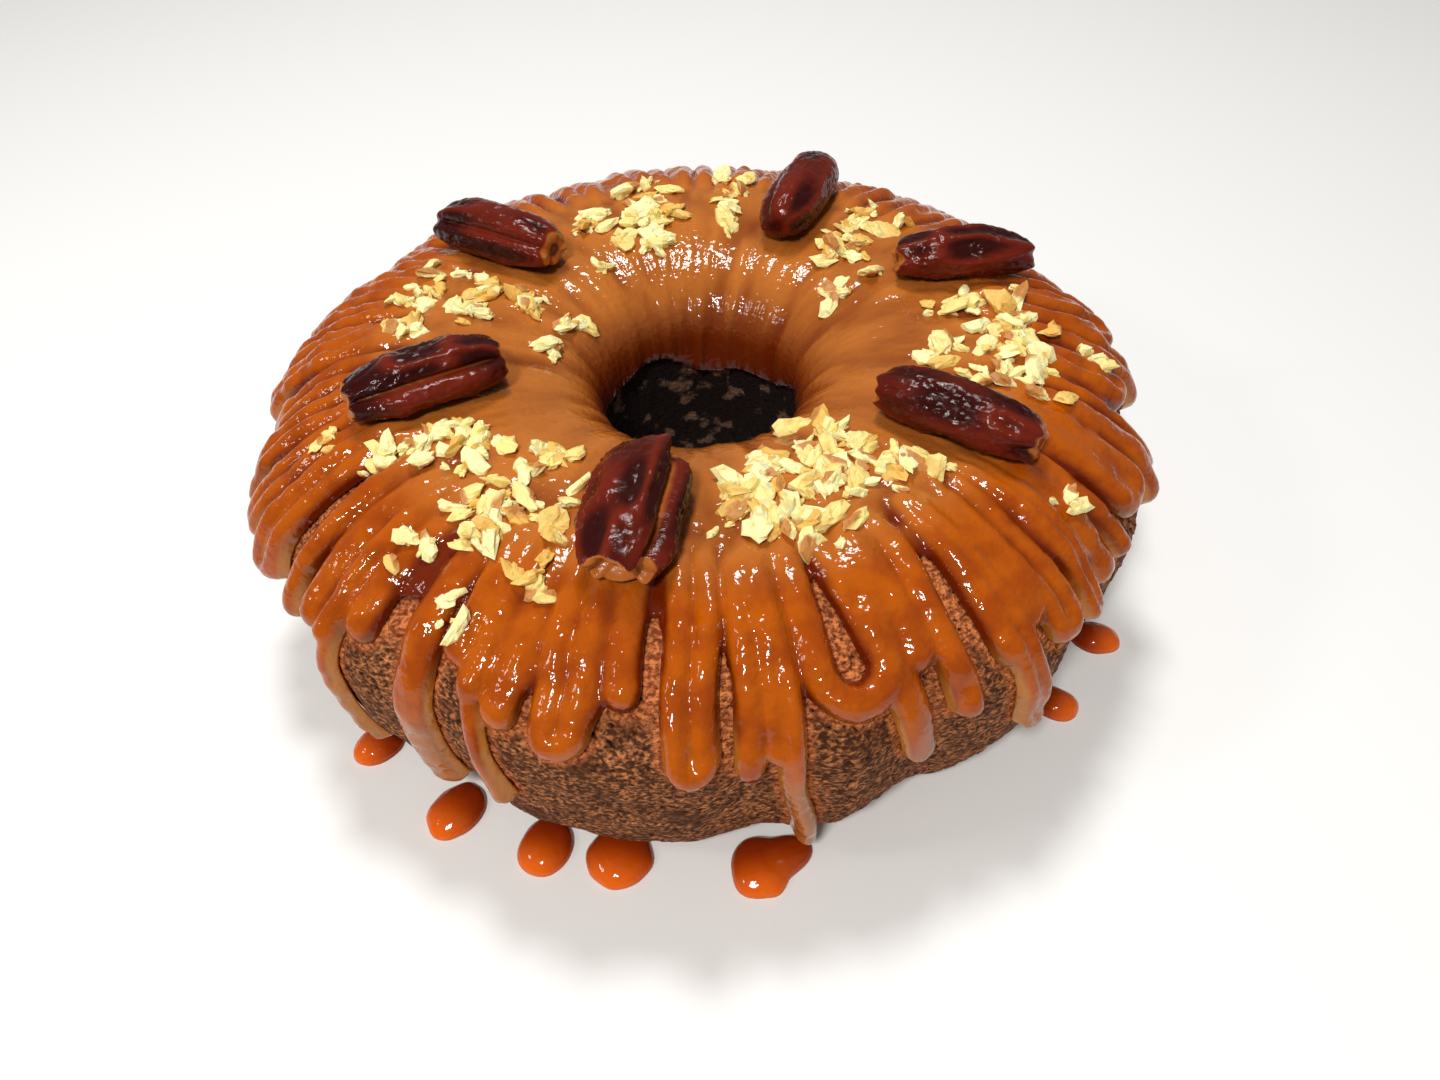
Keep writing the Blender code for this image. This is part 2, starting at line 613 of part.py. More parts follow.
def build_pool(name, turn, radius, radial, sideways, material):
    # a low dome, its inner side kept just clear of the cake's tuck
    around = np.linspace(0.0, 2 * math.pi, pool_around, endpoint=False)
    rise = np.linspace(0.0, 1.0, pool_rings + 1)[:-1]
    spread = np.sqrt(1.0 - rise ** 2)
    outward = radius * mm + spread[:, None] * np.cos(around) * radial * mm
    aside = spread[:, None] * np.sin(around) * sideways * mm
    height = rise[:, None] * pool_height + 0 * around
    tuck = np.linspace(profile[0][np.argmax(profile[1])], foot_end, 200)
    side_radius, side_height = (np.interp(tuck, profile[0], row) for row in profile[1:3])
    clear = np.interp(height, side_height[::-1], side_radius[::-1]) + 2 * gap
    outward = np.maximum(outward, clear)
    outward = np.append(outward.ravel(), radius * mm)
    aside = np.append(aside.ravel(), 0.0)
    height = np.append(height.ravel(), pool_height)
    heading = turn * degree
    x = outward * math.cos(heading) - aside * math.sin(heading)
    y = outward * math.sin(heading) + aside * math.cos(heading)
    faces = [tuple(reversed(face)) for face in grid_faces(pool_rings, pool_around)]
    top, final = pool_rings * pool_around, (pool_rings - 1) * pool_around
    for side in range(pool_around):
        faces.append((top, final + side, final + (side + 1) % pool_around))
    faces.append(tuple(reversed(range(pool_around))))
    return make_object(name, np.stack([x, y, height], -1), faces, material)


clear_scene()
crumb = make_material("crumb", (0.10, 0.045, 0.028), 0.9)
sauce = make_material("caramel", (0.42, 0.15, 0.04), 0.25)
chopped_nut = make_material("chopped_nut", (0.80, 0.60, 0.28), 0.6)
date_skin = make_material("date_skin", (0.09, 0.016, 0.012), 0.3)

build_body(crumb)
icing = build_coat(sauce)
fuse_nuts(icing, chopped_nut)
for row in dates:
    build_date(*row, date_skin)
for row in pools:
    build_pool(*row, sauce)
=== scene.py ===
import math

import bpy
import numpy as np
from mathutils import Matrix, Vector


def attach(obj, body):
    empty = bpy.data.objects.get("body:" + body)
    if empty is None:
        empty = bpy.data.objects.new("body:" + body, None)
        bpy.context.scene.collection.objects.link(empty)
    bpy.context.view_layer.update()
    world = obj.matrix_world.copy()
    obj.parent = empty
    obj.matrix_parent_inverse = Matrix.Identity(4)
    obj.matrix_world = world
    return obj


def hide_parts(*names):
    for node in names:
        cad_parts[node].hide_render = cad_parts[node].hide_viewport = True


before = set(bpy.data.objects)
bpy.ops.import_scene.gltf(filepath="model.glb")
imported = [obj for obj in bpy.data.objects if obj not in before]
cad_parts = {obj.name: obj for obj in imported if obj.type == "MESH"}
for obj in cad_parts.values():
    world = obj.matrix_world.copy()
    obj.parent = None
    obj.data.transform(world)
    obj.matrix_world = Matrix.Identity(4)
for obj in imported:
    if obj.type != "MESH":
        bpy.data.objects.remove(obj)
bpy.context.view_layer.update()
print("frame loaded:", len(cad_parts), "nodes")

mm = 0.001
degree = math.pi / 180
fullTurn = 2 * math.pi

# camera, where the photographer stood: place in mm, degrees above the horizon, roll, lens in mm
photoCamera = {"place": (4.22, -239.09, 245.69), "elevation": 46.372, "roll": -2.005, "lens": 26.865}


def addCamera():
    lens = bpy.data.cameras.new("camera")
    lens.lens = photoCamera["lens"]
    lens.sensor_width = 36
    lens.clip_start = 0.01
    camera = bpy.data.objects.new("camera", lens)
    bpy.context.scene.collection.objects.link(camera)
    place = Matrix.Translation([value * mm for value in photoCamera["place"]])
    tilt = Matrix.Rotation((90 - photoCamera["elevation"]) * degree, 4, "X")
    camera.matrix_world = place @ tilt @ Matrix.Rotation(photoCamera["roll"] * degree, 4, "Z")
    bpy.context.scene.camera = camera


addCamera()
print("camera placed")


# smooth steps, curves and noise that the surfaces share

def ease(value):
    # 3t² - 2t³ between 0 and 1
    value = np.clip(value, 0.0, 1.0)
    return value * value * (3.0 - 2.0 * value)


def wrapAngle(angle):
    # the same angle between -180 and 180 degrees
    return (angle + math.pi) % fullTurn - math.pi


def quarterCurve(power, count):
    # a quarter of a superellipse: cos^(2/n) and sin^(2/n) over a quarter turn
    swing = np.linspace(0.0, math.pi / 2, count)
    return np.cos(swing) ** (2 / power), np.sin(swing) ** (2 / power)


def lattice(cell, seed):
    # whole-number cells scrambled to fixed values from 0 to 1
    x, y, z = (cell[..., axis].astype(np.uint32) for axis in range(3))
    key = x * np.uint32(374761393) + y * np.uint32(668265263) + z * np.uint32(2147483647)
    key = key + np.uint32(seed * 97471)
    key = (key ^ (key >> np.uint32(13))) * np.uint32(1274126177)
    return ((key ^ (key >> np.uint32(16))) & np.uint32(0xFFFF)) / 65535.0


def softNoise(points, size, seed):
    # values at the corners of a lattice, blended over each cell by 3t² - 2t³, from -1 to 1
    place = points / size
    corner = np.floor(place).astype(np.int64)
    part = place - corner
    part = part * part * (3 - 2 * part)
    total = np.zeros(place.shape[:-1])
    for step in np.ndindex(2, 2, 2):
        share = np.prod(np.where(np.array(step) == 1, part, 1 - part), axis=-1)
        total += share * lattice(corner + np.array(step), seed)
    return 2 * total - 1


def layeredNoise(points, size, seed, layers=3):
    # soft noise, each layer half the size and half the height of the one before
    total = np.zeros(points.shape[:-1])
    for layer in range(layers):
        total += softNoise(points, size / 2 ** layer, seed + layer) / 2 ** layer
    return total


def pits(points, size, seed):
    # distance to the nearest of one scattered point in each lattice cell, in cells
    place = points / size
    corner = np.floor(place).astype(np.int64)
    nearest = np.full(place.shape[:-1], 9.0)
    for step in np.ndindex(3, 3, 3):
        cell = corner + np.array(step) - 1
        spot = cell + np.stack([lattice(cell, seed + axis) for axis in range(3)], -1)
        nearest = np.minimum(nearest, np.linalg.norm(spot - place, axis=-1))
    return nearest


def gridQuads(rows, columns):
    # four corners of each cell of a grid, row by row, the columns closing into a ring
    row, column = np.meshgrid(np.arange(rows - 1), np.arange(columns), indexing="ij")
    after = (column + 1) % columns
    corners = [row * columns + column, (row + 1) * columns + column,
               (row + 1) * columns + after, row * columns + after]
    return np.stack(corners, -1).reshape(-1, 4)


def capFan(tip, ring):
    # triangles from a tip to a ring of corners
    return np.stack([np.full(len(ring), tip), ring, np.roll(ring, -1)], -1)


def closedFaces(rings, count, flipped=False):
    # a stack of rings closed by a tip at each end, the tips numbered after the rings
    start, end = np.arange(count), (rings - 1) * count + np.arange(count)
    faces = [gridQuads(rings, count), capFan(rings * count, start), capFan(rings * count + 1, end)[:, ::-1]]
    return [face[:, ::-1] for face in faces] if flipped else faces


def direction(angle):
    # outwards from the axis, at an angle in degrees
    return np.array([math.cos(angle * degree), math.sin(angle * degree)])


def roundAxis(angle, radius, height):
    # places given by angle, radius and height
    return np.stack([radius * np.cos(angle), radius * np.sin(angle), height + 0 * angle], -1)


def makePiece(name, points, faceSets, material, fields):
    mesh = bpy.data.meshes.new(name)
    faces = [face for faceSet in faceSets for face in faceSet.tolist()]
    mesh.from_pydata(points.reshape(-1, 3).tolist(), [], faces)
    for label, values in fields.items():
        layer = mesh.attributes.new(label, "FLOAT", "POINT")
        layer.data.foreach_set("value", np.ravel(values).astype(np.float32))
    mesh.materials.append(material)
    mesh.shade_smooth()
    piece = bpy.data.objects.new(name, mesh)
    bpy.context.scene.collection.objects.link(piece)
    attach(piece, "root")
    return piece


# the cake's form: sizes in mm, shared by the crumb and by all that lies on it
cake = {
    "holeRadius": 30.0, "holeFlare": 2.5, "waistHeight": 47.0, "crestRadius": 73.5, "crestHeight": 72.0,
    "widestRadius": 121.0, "widestHeight": 46.0, "footRadius": 104.0,
    "powers": (2.5, 1.8, 1.9), "wallSteps": 60, "curveSteps": 160, "noiseRing": 1.15,
    "lobeDepth": 4.5, "lobeWidth": 6.0, "lobeStart": 15.0, "lobeFade": 45.0,
    "valleys": (-176, -149, -122, -84, -65, -37, -8, 24, 55, 83, 118, 150)}


def makeProfile():
    # hole wall, superellipse up to the crest, another down to the widest ring, a third in to the foot
    hole, waist, crest, ridge, widest, belly, foot = (cake[size] * mm for size in (
        "holeRadius", "waistHeight", "crestHeight", "crestRadius", "widestRadius", "widestHeight",
        "footRadius"))
    level = np.linspace(0.0, waist, cake["wallSteps"])[:-1]
    wall = hole + cake["holeFlare"] * mm * (1.0 - level / waist) ** 2, level
    first, second, third = (quarterCurve(power, cake["curveSteps"]) for power in cake["powers"])
    inner = ridge - (ridge - hole) * first[0], waist + (crest - waist) * first[1]
    outer = ridge + (widest - ridge) * second[1], belly + (crest - belly) * second[0]
    lower = foot + (widest - foot) * third[0], belly * (1.0 - third[1])
    radius, height = (np.concatenate([wall[axis], inner[axis][:-1], outer[axis][:-1], lower[axis]])
                      for axis in (0, 1))
    length = np.concatenate([[0.0], np.cumsum(np.hypot(np.diff(radius), np.diff(height)))])
    length = length - length[np.argmax(height)]
    alongRadius, alongHeight = np.gradient(radius, length), np.gradient(height, length)
    size = np.hypot(alongRadius, alongHeight)
    return length, radius, height, -alongHeight / size, alongRadius / size


profile = makeProfile()
holeEnd, footEnd = profile[0][0], profile[0][-1]


def profileAt(along, *rows):
    # 1 radius, 2 height, 3 and 4 the normal's two parts, at a distance past the crest
    return [np.interp(along, profile[0], profile[row]) for row in rows]


def cakePoints(angle, along, lift):
    # profile point raised along its normal by the lift, the lobes' valleys pulled in below the shoulder
    radius, height, outRadius, outHeight = profileAt(along, 1, 2, 3, 4)
    valley = np.zeros_like(angle)
    for middle in cake["valleys"]:
        offset = wrapAngle(angle - middle * degree) / (cake["lobeWidth"] * degree)
        valley = np.maximum(valley, np.exp(-offset ** 2))
    fade = ease((along - cake["lobeStart"] * mm) / (cake["lobeFade"] * mm))
    radius = radius - cake["lobeDepth"] * mm * valley * fade + outRadius * lift
    return roundAxis(angle, radius, height + outHeight * lift)


def ringPlace(angle, along, stretch):
    # a place for noise: the angle wound on a ring just wider than the crest, the way down stretched
    return roundAxis(angle, cake["crestRadius"] * mm * cake["noiseRing"], along / stretch)


def noiseLayers(layers, angle, along):
    # sum of soft noise, a row for each layer: height and size in mm, stretch down the side, seed
    return sum(height * softNoise(ringPlace(angle, along, stretch), size * mm, seed)
               for height, size, stretch, seed in layers) * mm


# the poured caramel: an even coat over the crest, and strands of it running down the outside
coat = {
    "clearance": 0.45, "thickness": 2.6, "edgeHeight": 0.5, "innerReach": 60.0, "outerReach": 26.0,
    "edge": 4.0, "thinning": 0.5, "thinReach": 22.0, "fill": 0.9, "outsideStart": -10.0,
    "outsideFade": 20.0, "ropeHeight": 4.0, "ropeShare": (0.8, 1.15), "ropeStart": -4.0, "ropeFade": 16.0,
    "ropeMargin": 4.0, "leanReach": 35.0, "wander": 0.5, "wanderSize": 7.0, "bulge": 0.2,
    "bulgeReach": 0.9, "blend": 0.6, "blendLimit": 40, "power": 6,
    "innerWaves": ((3, 3.0, 1.0), (7, 1.5, 0.0)), "outerWaves": ((5, 4.0, 0.0), (11, 3.0, 2.0)),
    "columns": 900, "innerRows": (-72.0, -2.0, 34), "outerRows": (-0.8, 95.0, 82), "cornerRounds": 6,
    "snapRounds": 5, "snapProbe": 0.3, "snapStep": 1.5, "snapFlattest": 0.3, "snapLimit": 0.45,
    "folds": ((0.6, 9.0, 1.6, 3),), "foldFrom": 1.5, "foldLoss": 0.6,
    "relief": ((0.65, 5.0, 1.5, 19), (0.40, 2.4, 1.3, 23), (0.15, 1.9, 4.0, 29)), "reliefFrom": 2.0,
    "insideRelief": 0.3, "hiddenShare": 0.25}
# strands: angle in degrees, reach past the crest and whole width in mm, the loop's width between its two
# arms' middles, and how far it drifts aside for each mm down
frontRopes = [
    (-176, 58, 13, 6, 0), (-168.5, 61, 13, 6.5, 0), (-161.5, 60, 12, 5.5, 0), (-154.5, 62, 13, 6, 0),
    (-146, 60, 8, 0, 0), (-140.5, 53, 10, 0, 0), (-136.5, 52, 7, 0, 0), (-132.5, 47, 10, 0, 0),
    (-124, 92, 10, 0, 0), (-119, 42, 8, 0, 0), (-116, 47, 8, 0, 0), (-112, 50, 9, 0, 0),
    (-111.5, 72, 6, 0, 0.36), (-105.5, 53, 14, 6.5, 0), (-99.3, 41, 8.5, 0, 0), (-91.5, 56.5, 12.5, 5.5, 0),
    (-85.3, 59, 7.5, 0, 0), (-82, 56, 9, 3.5, 0), (-79, 95, 6, 0, 0.13), (-72.9, 48, 24.5, 15.5, 0),
    (-65.5, 44, 9, 0, 0), (-66, 68, 9.5, 0, 0.2), (-61.7, 58, 8, 0, 0), (-55, 50, 8, 0, 0),
    (-52, 74, 9, 3.5, 0.1), (-46.7, 54, 13, 6, 0), (-40.2, 58, 9, 3.5, 0), (-35.3, 57, 9.5, 0, 0),
    (-31.5, 55, 7, 0, 0), (-24.5, 51, 18, 9, 0), (-17.8, 60, 9, 0, 0)]
thinDrip = (-136.1, 93, 6, 0, 0)
backRopes = {
    "first": -13.0, "last": 177.0, "count": 29, "jitter": 1.2, "reach": (48.0, 66.0),
    "width": (11.5, 15.0), "loop": (0.4, 0.52), "lean": 0.08, "seed": 11}
# tongues and bays of the even coat: angle and half width in degrees, where its edge lies there in mm,
# and how far it fills the creases between the strands
tongues = (
    (-169, 6, 44, 0.3), (-157, 4.5, 46, 0.4), (-140, 4, 40, 0.3), (-113, 5.5, 43, 0.6), (-104, 4, 46, 0.4),
    (-83.3, 4, 50, 0.3), (-66, 2.4, 44, 0.5), (-51.5, 4.5, 46, 1.0), (-38.5, 4.5, 48, 0.8), (-25, 4, 46, 1.0),
    (-5, 9, 42, 0.3), (30, 12, 40, 0.3), (70, 14, 44, 0.3), (110, 12, 42, 0.3), (150, 14, 45, 0.3),
    (-150, 1.2, 20, 0), (-96.5, 1.2, 20, 0), (-73, 2.6, 9, 0), (-58.3, 2, 19, 0), (-33, 0.7, 22, 0),
    (-29.6, 0.8, 22, 0))


def makeRopes():
    # the strands seen from the front, a seeded run of looped ones round the back, and the thin one that
    # ends at the first drop
    draw, loopDraw = (np.random.RandomState(backRopes["seed"] + step) for step in (0, 2))
    rows = list(frontRopes)
    for middle in np.linspace(backRopes["first"], backRopes["last"], backRopes["count"]):
        width = draw.uniform(*backRopes["width"])
        angle = middle + draw.uniform(-1, 1) * backRopes["jitter"]
        loop = width * loopDraw.uniform(*backRopes["loop"])
        rows.append((angle, draw.uniform(*backRopes["reach"]), width, loop,
                     draw.uniform(-1, 1) * backRopes["lean"]))
    rows.append(thinDrip)
    draw = np.random.RandomState(backRopes["seed"] + 1)
    return [(angle * degree, reach * mm, width * mm / 2, loop * mm / 2, lean,
             draw.uniform(*coat["ropeShare"]), draw.uniform(0, fullTurn))
            for angle, reach, width, loop, lean in rows]


ropes = makeRopes()


def roundTop(inside, half):
    # half-round section: 0 at the edge, 1 from half the width inwards
    level = 1.0 - np.clip(inside / half, 0.0, 1.0)
    return np.sqrt(1.0 - level ** 2)


def coatSpan(angle):
    # where the even coat ends in the hole and on the outer slope, and how far it fills the creases there
    inner, outer = (sum(depth * mm * np.sin(count * angle + start) for count, depth, start in coat[waves])
                    for waves in ("innerWaves", "outerWaves"))
    outer = outer + coat["outerReach"] * mm
    fill = 0.0 * angle
    for middle, half, edge, filled in tongues:
        share = np.exp(-(wrapAngle(angle - middle * degree) / (half * degree)) ** 4)
        outer = outer + share * (edge * mm - outer)
        fill = fill + share * (filled - fill)
    return inner - coat["innerReach"] * mm, outer, fill


def ropeInside(rope, x, s):
    # depth inside the strand's arm, whose middle line is a U as wide as the loop, and its half width
    length, half, loop = rope[1:4]
    toLine = np.abs(np.hypot(x, np.maximum(s - (length - half), 0.0)) - loop)
    return half - loop - np.hypot(toLine, np.maximum(coat["ropeStart"] * mm - s, 0.0)), half - loop


def caramel(angle, along, fine=True):
    # how far a place lies inside the caramel's outline, a soft largest over the coat and every strand,
    # and the caramel's thickness there, the soft largest of their half-round sections
    blend, limit, power = coat["blend"] * mm, coat["blendLimit"], coat["power"]
    start, end, fill = coatSpan(angle)
    inside = np.minimum(along - start, end - along)
    reach = np.exp(np.clip(inside / blend, -limit, limit))
    body = coat["thickness"] * mm * roundTop(inside, coat["edge"] * mm)
    body = body * (1.0 - (coat["thinning"] - coat["fill"] * fill) * ease(along / (coat["thinReach"] * mm)))
    outside = ease((along - coat["outsideStart"] * mm) / (coat["outsideFade"] * mm))
    if fine:
        folds = noiseLayers(coat["folds"], angle, along) * ease(body / (coat["foldFrom"] * mm))
        body = body + folds * (1 - coat["foldLoss"] * outside)
    depth = body ** power
    radius = profileAt(along, 1)[0]
    for rope in ropes:
        middle, length, half, loop, lean, share, phase = rope
        drift = lean * np.clip(length - along, 0.0, coat["leanReach"] * mm)
        across = wrapAngle(angle - middle) * radius + drift
        across = across + coat["wander"] * mm * np.sin(along / (coat["wanderSize"] * mm) + phase)
        near = np.abs(across) < half + coat["ropeMargin"] * mm
        if not near.any():
            continue
        inside, arm = ropeInside(rope, across[near], along[near])
        fade = ease((along[near] / mm - coat["ropeStart"]) / coat["ropeFade"])
        rise = share * coat["ropeHeight"] * mm * fade
        if fine:
            toBulge = (along[near] - length + arm) / (coat["bulgeReach"] * arm)
            rise = rise * (1.0 + coat["bulge"] * np.exp(-toBulge ** 2))
        reach[near] += np.exp(np.clip(inside / blend, -limit, limit))
        depth[near] += (rise * roundTop(inside, arm)) ** power
    thickness = depth ** (1 / power)
    if fine:
        relief = noiseLayers(coat["relief"], angle, along) * ease(thickness / (coat["reliefFrom"] * mm))
        thickness = thickness + relief * (coat["insideRelief"] + (1 - coat["insideRelief"]) * outside)
    return blend * np.log(reach), np.maximum(thickness, 0.0)


def coveredCells(reach):
    # cells whose middle is under caramel, with none left touching at one corner only
    middle = (reach[:-1] + reach[1:]) / 2
    keep = (middle + np.roll(middle, -1, axis=1)) / 2 > 0
    keep[0], keep[-1] = False, False
    for _ in range(coat["cornerRounds"]):
        left = np.roll(keep, 1, axis=1)
        rising = keep[1:] & left[:-1] & ~keep[:-1] & ~left[1:]
        falling = keep[:-1] & left[1:] & ~keep[1:] & ~left[:-1]
        keep[:-1] |= rising
        keep[1:] |= falling
    return keep


def snapToOutline(angle, along, free, cell):
    # Newton steps bring the free corners onto the caramel's outline, less than half a cell away
    firstAngle, firstAlong = angle.copy(), along.copy()
    angle, along, step = angle.copy(), along.copy(), coat["snapProbe"] * mm
    a, s = angle[free], along[free]
    for _ in range(coat["snapRounds"]):
        radius = profileAt(s, 1)[0]
        reach = caramel(a, s, False)[0]
        aside = (caramel(a + step / radius, s, False)[0] - reach) / step
        ahead = (caramel(a, s + step, False)[0] - reach) / step
        move = -reach / np.maximum(aside ** 2 + ahead ** 2, coat["snapFlattest"])
        a = a + np.clip(move * aside, -coat["snapStep"] * mm, coat["snapStep"] * mm) / radius
        s = s + np.clip(move * ahead, -coat["snapStep"] * mm, coat["snapStep"] * mm)
    swing, slide = coat["snapLimit"] * fullTurn / coat["columns"], coat["snapLimit"] * cell[free]
    angle[free] = firstAngle[free] + np.clip(a - firstAngle[free], -swing, swing)
    along[free] = firstAlong[free] + np.clip(s - firstAlong[free], -slide, slide)
    return angle, along


def buildCoat(material):
    # grid of angle and distance past the crest, only the covered cells kept: an outer sheet at the
    # caramel's height, an inner sheet against the crumb, and a low wall round every edge
    rows = np.concatenate([np.linspace(*coat["innerRows"]), np.linspace(*coat["outerRows"])]) * mm
    count = coat["columns"]
    along, angle = np.meshgrid(rows, np.linspace(-math.pi, math.pi, count, endpoint=False), indexing="ij")
    cell = np.gradient(rows)[:, None] + 0 * along
    keep = coveredCells(caramel(angle, along, False)[0])
    used = np.zeros(along.shape, int)
    for down in (0, 1):
        for over in (0, 1):
            used[down:len(rows) - 1 + down] += np.roll(keep, over, axis=1)
    border = (used > 0) & (used < 4)
    angle, along = snapToOutline(angle, along, border, cell)
    reach, thickness = caramel(angle, along)
    thickness = np.maximum(thickness, coat["edgeHeight"] * mm)
    thickness[border] = coat["edgeHeight"] * mm
    outer = cakePoints(angle, along, coat["clearance"] * mm + thickness).reshape(-1, 3)
    inner = cakePoints(angle, along, coat["clearance"] * mm + 0 * thickness).reshape(-1, 3)
    row, column = np.nonzero(keep)
    after = (column + 1) % count
    a, b = row * count + column, (row + 1) * count + column
    c, d = (row + 1) * count + after, row * count + after
    size = len(outer)
    faces = [np.stack([a, b, c, d], -1), size + np.stack([d, c, b, a], -1)]
    sides = [(keep[row - 1, column], d, a), (keep[row + 1, column], b, c),
             (keep[row, column - 1], a, b), (keep[row, after], c, d)]
    for neighbour, first, second in sides:
        first, second = first[~neighbour], second[~neighbour]
        faces.append(np.stack([first, size + first, size + second, second], -1))
    corners, faces = np.unique(np.concatenate(faces), return_inverse=True)
    faces = faces.reshape(-1, 4)
    both = np.concatenate([outer, inner])[corners]
    values = {"reach": reach / mm, "thick": thickness / mm, "along": along / mm}
    fields = {label: np.tile(value.ravel(), 2)[corners] for label, value in values.items()}
    piece = makePiece("caramel_coat", both, [faces], material, fields)
    hidden = piece.vertex_groups.new(name="hidden")
    below = (corners >= size) & ~np.tile(border.ravel(), 2)[corners]
    hidden.add(np.nonzero(below)[0].tolist(), 1.0, "REPLACE")
    thin = piece.modifiers.new("thin the hidden side", "DECIMATE")
    # all of the seen half of the corners stays, and a share of the hidden half
    thin.ratio = 0.5 + 0.5 * coat["hiddenShare"]
    thin.vertex_group = "hidden"
    thin.use_collapse_triangulate = True
    graph = bpy.context.evaluated_depsgraph_get()
    slim = bpy.data.meshes.new_from_object(piece.evaluated_get(graph))
    piece.modifiers.clear()
    piece.data = slim
    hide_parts("caramel_icing")


# the crumb: baked dark, with lumps, layers and open pores where it shows
crumb = {
    "columns": 720, "wallRows": 24, "hiddenRows": 8, "sideRows": 92, "underRows": 6,
    "hiddenStart": -50.0, "sideStart": 16.0, "lump": 0.45, "lumpSize": 11.0,
    "layer": 0.35, "layerSize": 2.4, "layerStretch": 0.45, "pore": 1.1, "poreSize": 3.2,
    "poreShare": 0.35, "smallPore": 0.6, "smallPoreSize": 1.8, "smallPoreShare": 0.45,
    "seeds": {"lump": 31, "layer": 41, "poreShare": 53, "pore": 57, "smallPore": 61}, "footFade": 3.0,
    "coatMargin": 1.0, "coveredLift": 0.2, "soakReach": 3.5, "soakStart": 38.0, "soakFade": 10.0}


def buildCrumb(material):
    # angle and distance along the profile, sunk by pores and raised by lumps and fine layers
    rows = np.concatenate([
        np.linspace(holeEnd, crumb["hiddenStart"] * mm, crumb["wallRows"])[:-1],
        np.linspace(crumb["hiddenStart"], crumb["sideStart"], crumb["hiddenRows"])[:-1] * mm,
        np.linspace(crumb["sideStart"] * mm, footEnd, crumb["sideRows"])])
    count = crumb["columns"]
    along, angle = np.meshgrid(rows, np.linspace(-math.pi, math.pi, count, endpoint=False), indexing="ij")
    plain, seeds = cakePoints(angle, along, 0.0), crumb["seeds"]
    lumps = layeredNoise(plain, crumb["lumpSize"] * mm, seeds["lump"]) * crumb["lump"] * mm
    layers = layeredNoise(ringPlace(angle, along, crumb["layerStretch"]), crumb["layerSize"] * mm,
                          seeds["layer"], 2)
    share = crumb["poreShare"]
    sizes = share + share * softNoise(plain, crumb["poreSize"] * mm * 2, seeds["poreShare"])
    large = ease(1.0 - pits(plain, crumb["poreSize"] * mm, seeds["pore"]) / sizes)
    small = ease(1.0 - pits(plain, crumb["smallPoreSize"] * mm, seeds["smallPore"]) / crumb["smallPoreShare"])
    reach = caramel(angle, along, False)[0]
    lift = lumps + layers * crumb["layer"] * mm - large * crumb["pore"] * mm - small * crumb["smallPore"] * mm
    low = ease(plain[..., 2] / (crumb["footFade"] * mm))
    covered = reach > -crumb["coatMargin"] * mm
    lift = np.where(covered, np.minimum(lift, crumb["coveredLift"] * mm), lift) * low
    side = cakePoints(angle, along, lift)
    side[-1, :, 2], side[0, :, 2] = 0.0, 0.0
    share = np.linspace(0.0, 1.0, crumb["underRows"] + 2)[1:-1, None, None]
    under = side[-1] * (1 - share) + side[0] * share
    points = np.concatenate([side, under])
    faces = gridQuads(len(points), count)
    last = (len(points) - 1) * count + np.arange(count)
    closing = np.stack([last, np.arange(count), np.roll(np.arange(count), -1), np.roll(last, -1)], -1)
    soak = np.maximum(ease(1.0 + reach / (crumb["soakReach"] * mm)),
                      1.0 - ease((along / mm - crumb["soakStart"]) / crumb["soakFade"]))
    # pore and hole mark where the painted shade goes: near black in the pores and down the hole
    stored = {"soak": soak, "pore": np.maximum(large, small), "hole": along < crumb["hiddenStart"] * mm}
    bare = np.zeros(under.shape[:2])
    fields = {label: np.concatenate([values, bare]) for label, values in stored.items()}
    piece = makePiece("crumb_ring", points, [faces, closing], material, fields)
    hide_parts("cake_body")


# heights for what rests on the caramel
topMapGrid = {"angles": 721, "alongs": (-45.0, 60.0, 211), "radii": (34.0, 124.0, 181)}


def makeTopMap(fine):
    # the surface's height on a grid of angle and radius, read along each column of the caramel
    angle = np.linspace(-math.pi, math.pi, topMapGrid["angles"])
    along, radius = np.linspace(*topMapGrid["alongs"]) * mm, np.linspace(*topMapGrid["radii"]) * mm
    angles, alongs = np.meshgrid(angle, along, indexing="ij")
    surface = cakePoints(angles, alongs, coat["clearance"] * mm + caramel(angles, alongs, fine)[1])
    reach = np.hypot(surface[..., 0], surface[..., 1])
    return np.array([np.interp(radius, line, level) for line, level in zip(reach, surface[..., 2])])


topMaps = {fine: makeTopMap(fine) for fine in (False, True)}


def topHeight(x, y, fine=True):
    # blend of the four nearest places of the height map
    topMap, turns, (inner, outer, rings) = topMaps[fine], topMapGrid["angles"] - 1, topMapGrid["radii"]
    column = (np.arctan2(y, x) + math.pi) / fullTurn * turns
    ring = np.clip((np.hypot(x, y) / mm - inner) / ((outer - inner) / (rings - 1)), 0, rings - 1.001)
    i, j = np.floor(column).astype(int) % turns, np.floor(ring).astype(int)
    u, v = column - np.floor(column), ring - j
    return ((topMap[i, j] * (1 - u) + topMap[i + 1, j] * u) * (1 - v)
            + (topMap[i, j + 1] * (1 - u) + topMap[i + 1, j + 1] * u) * v)


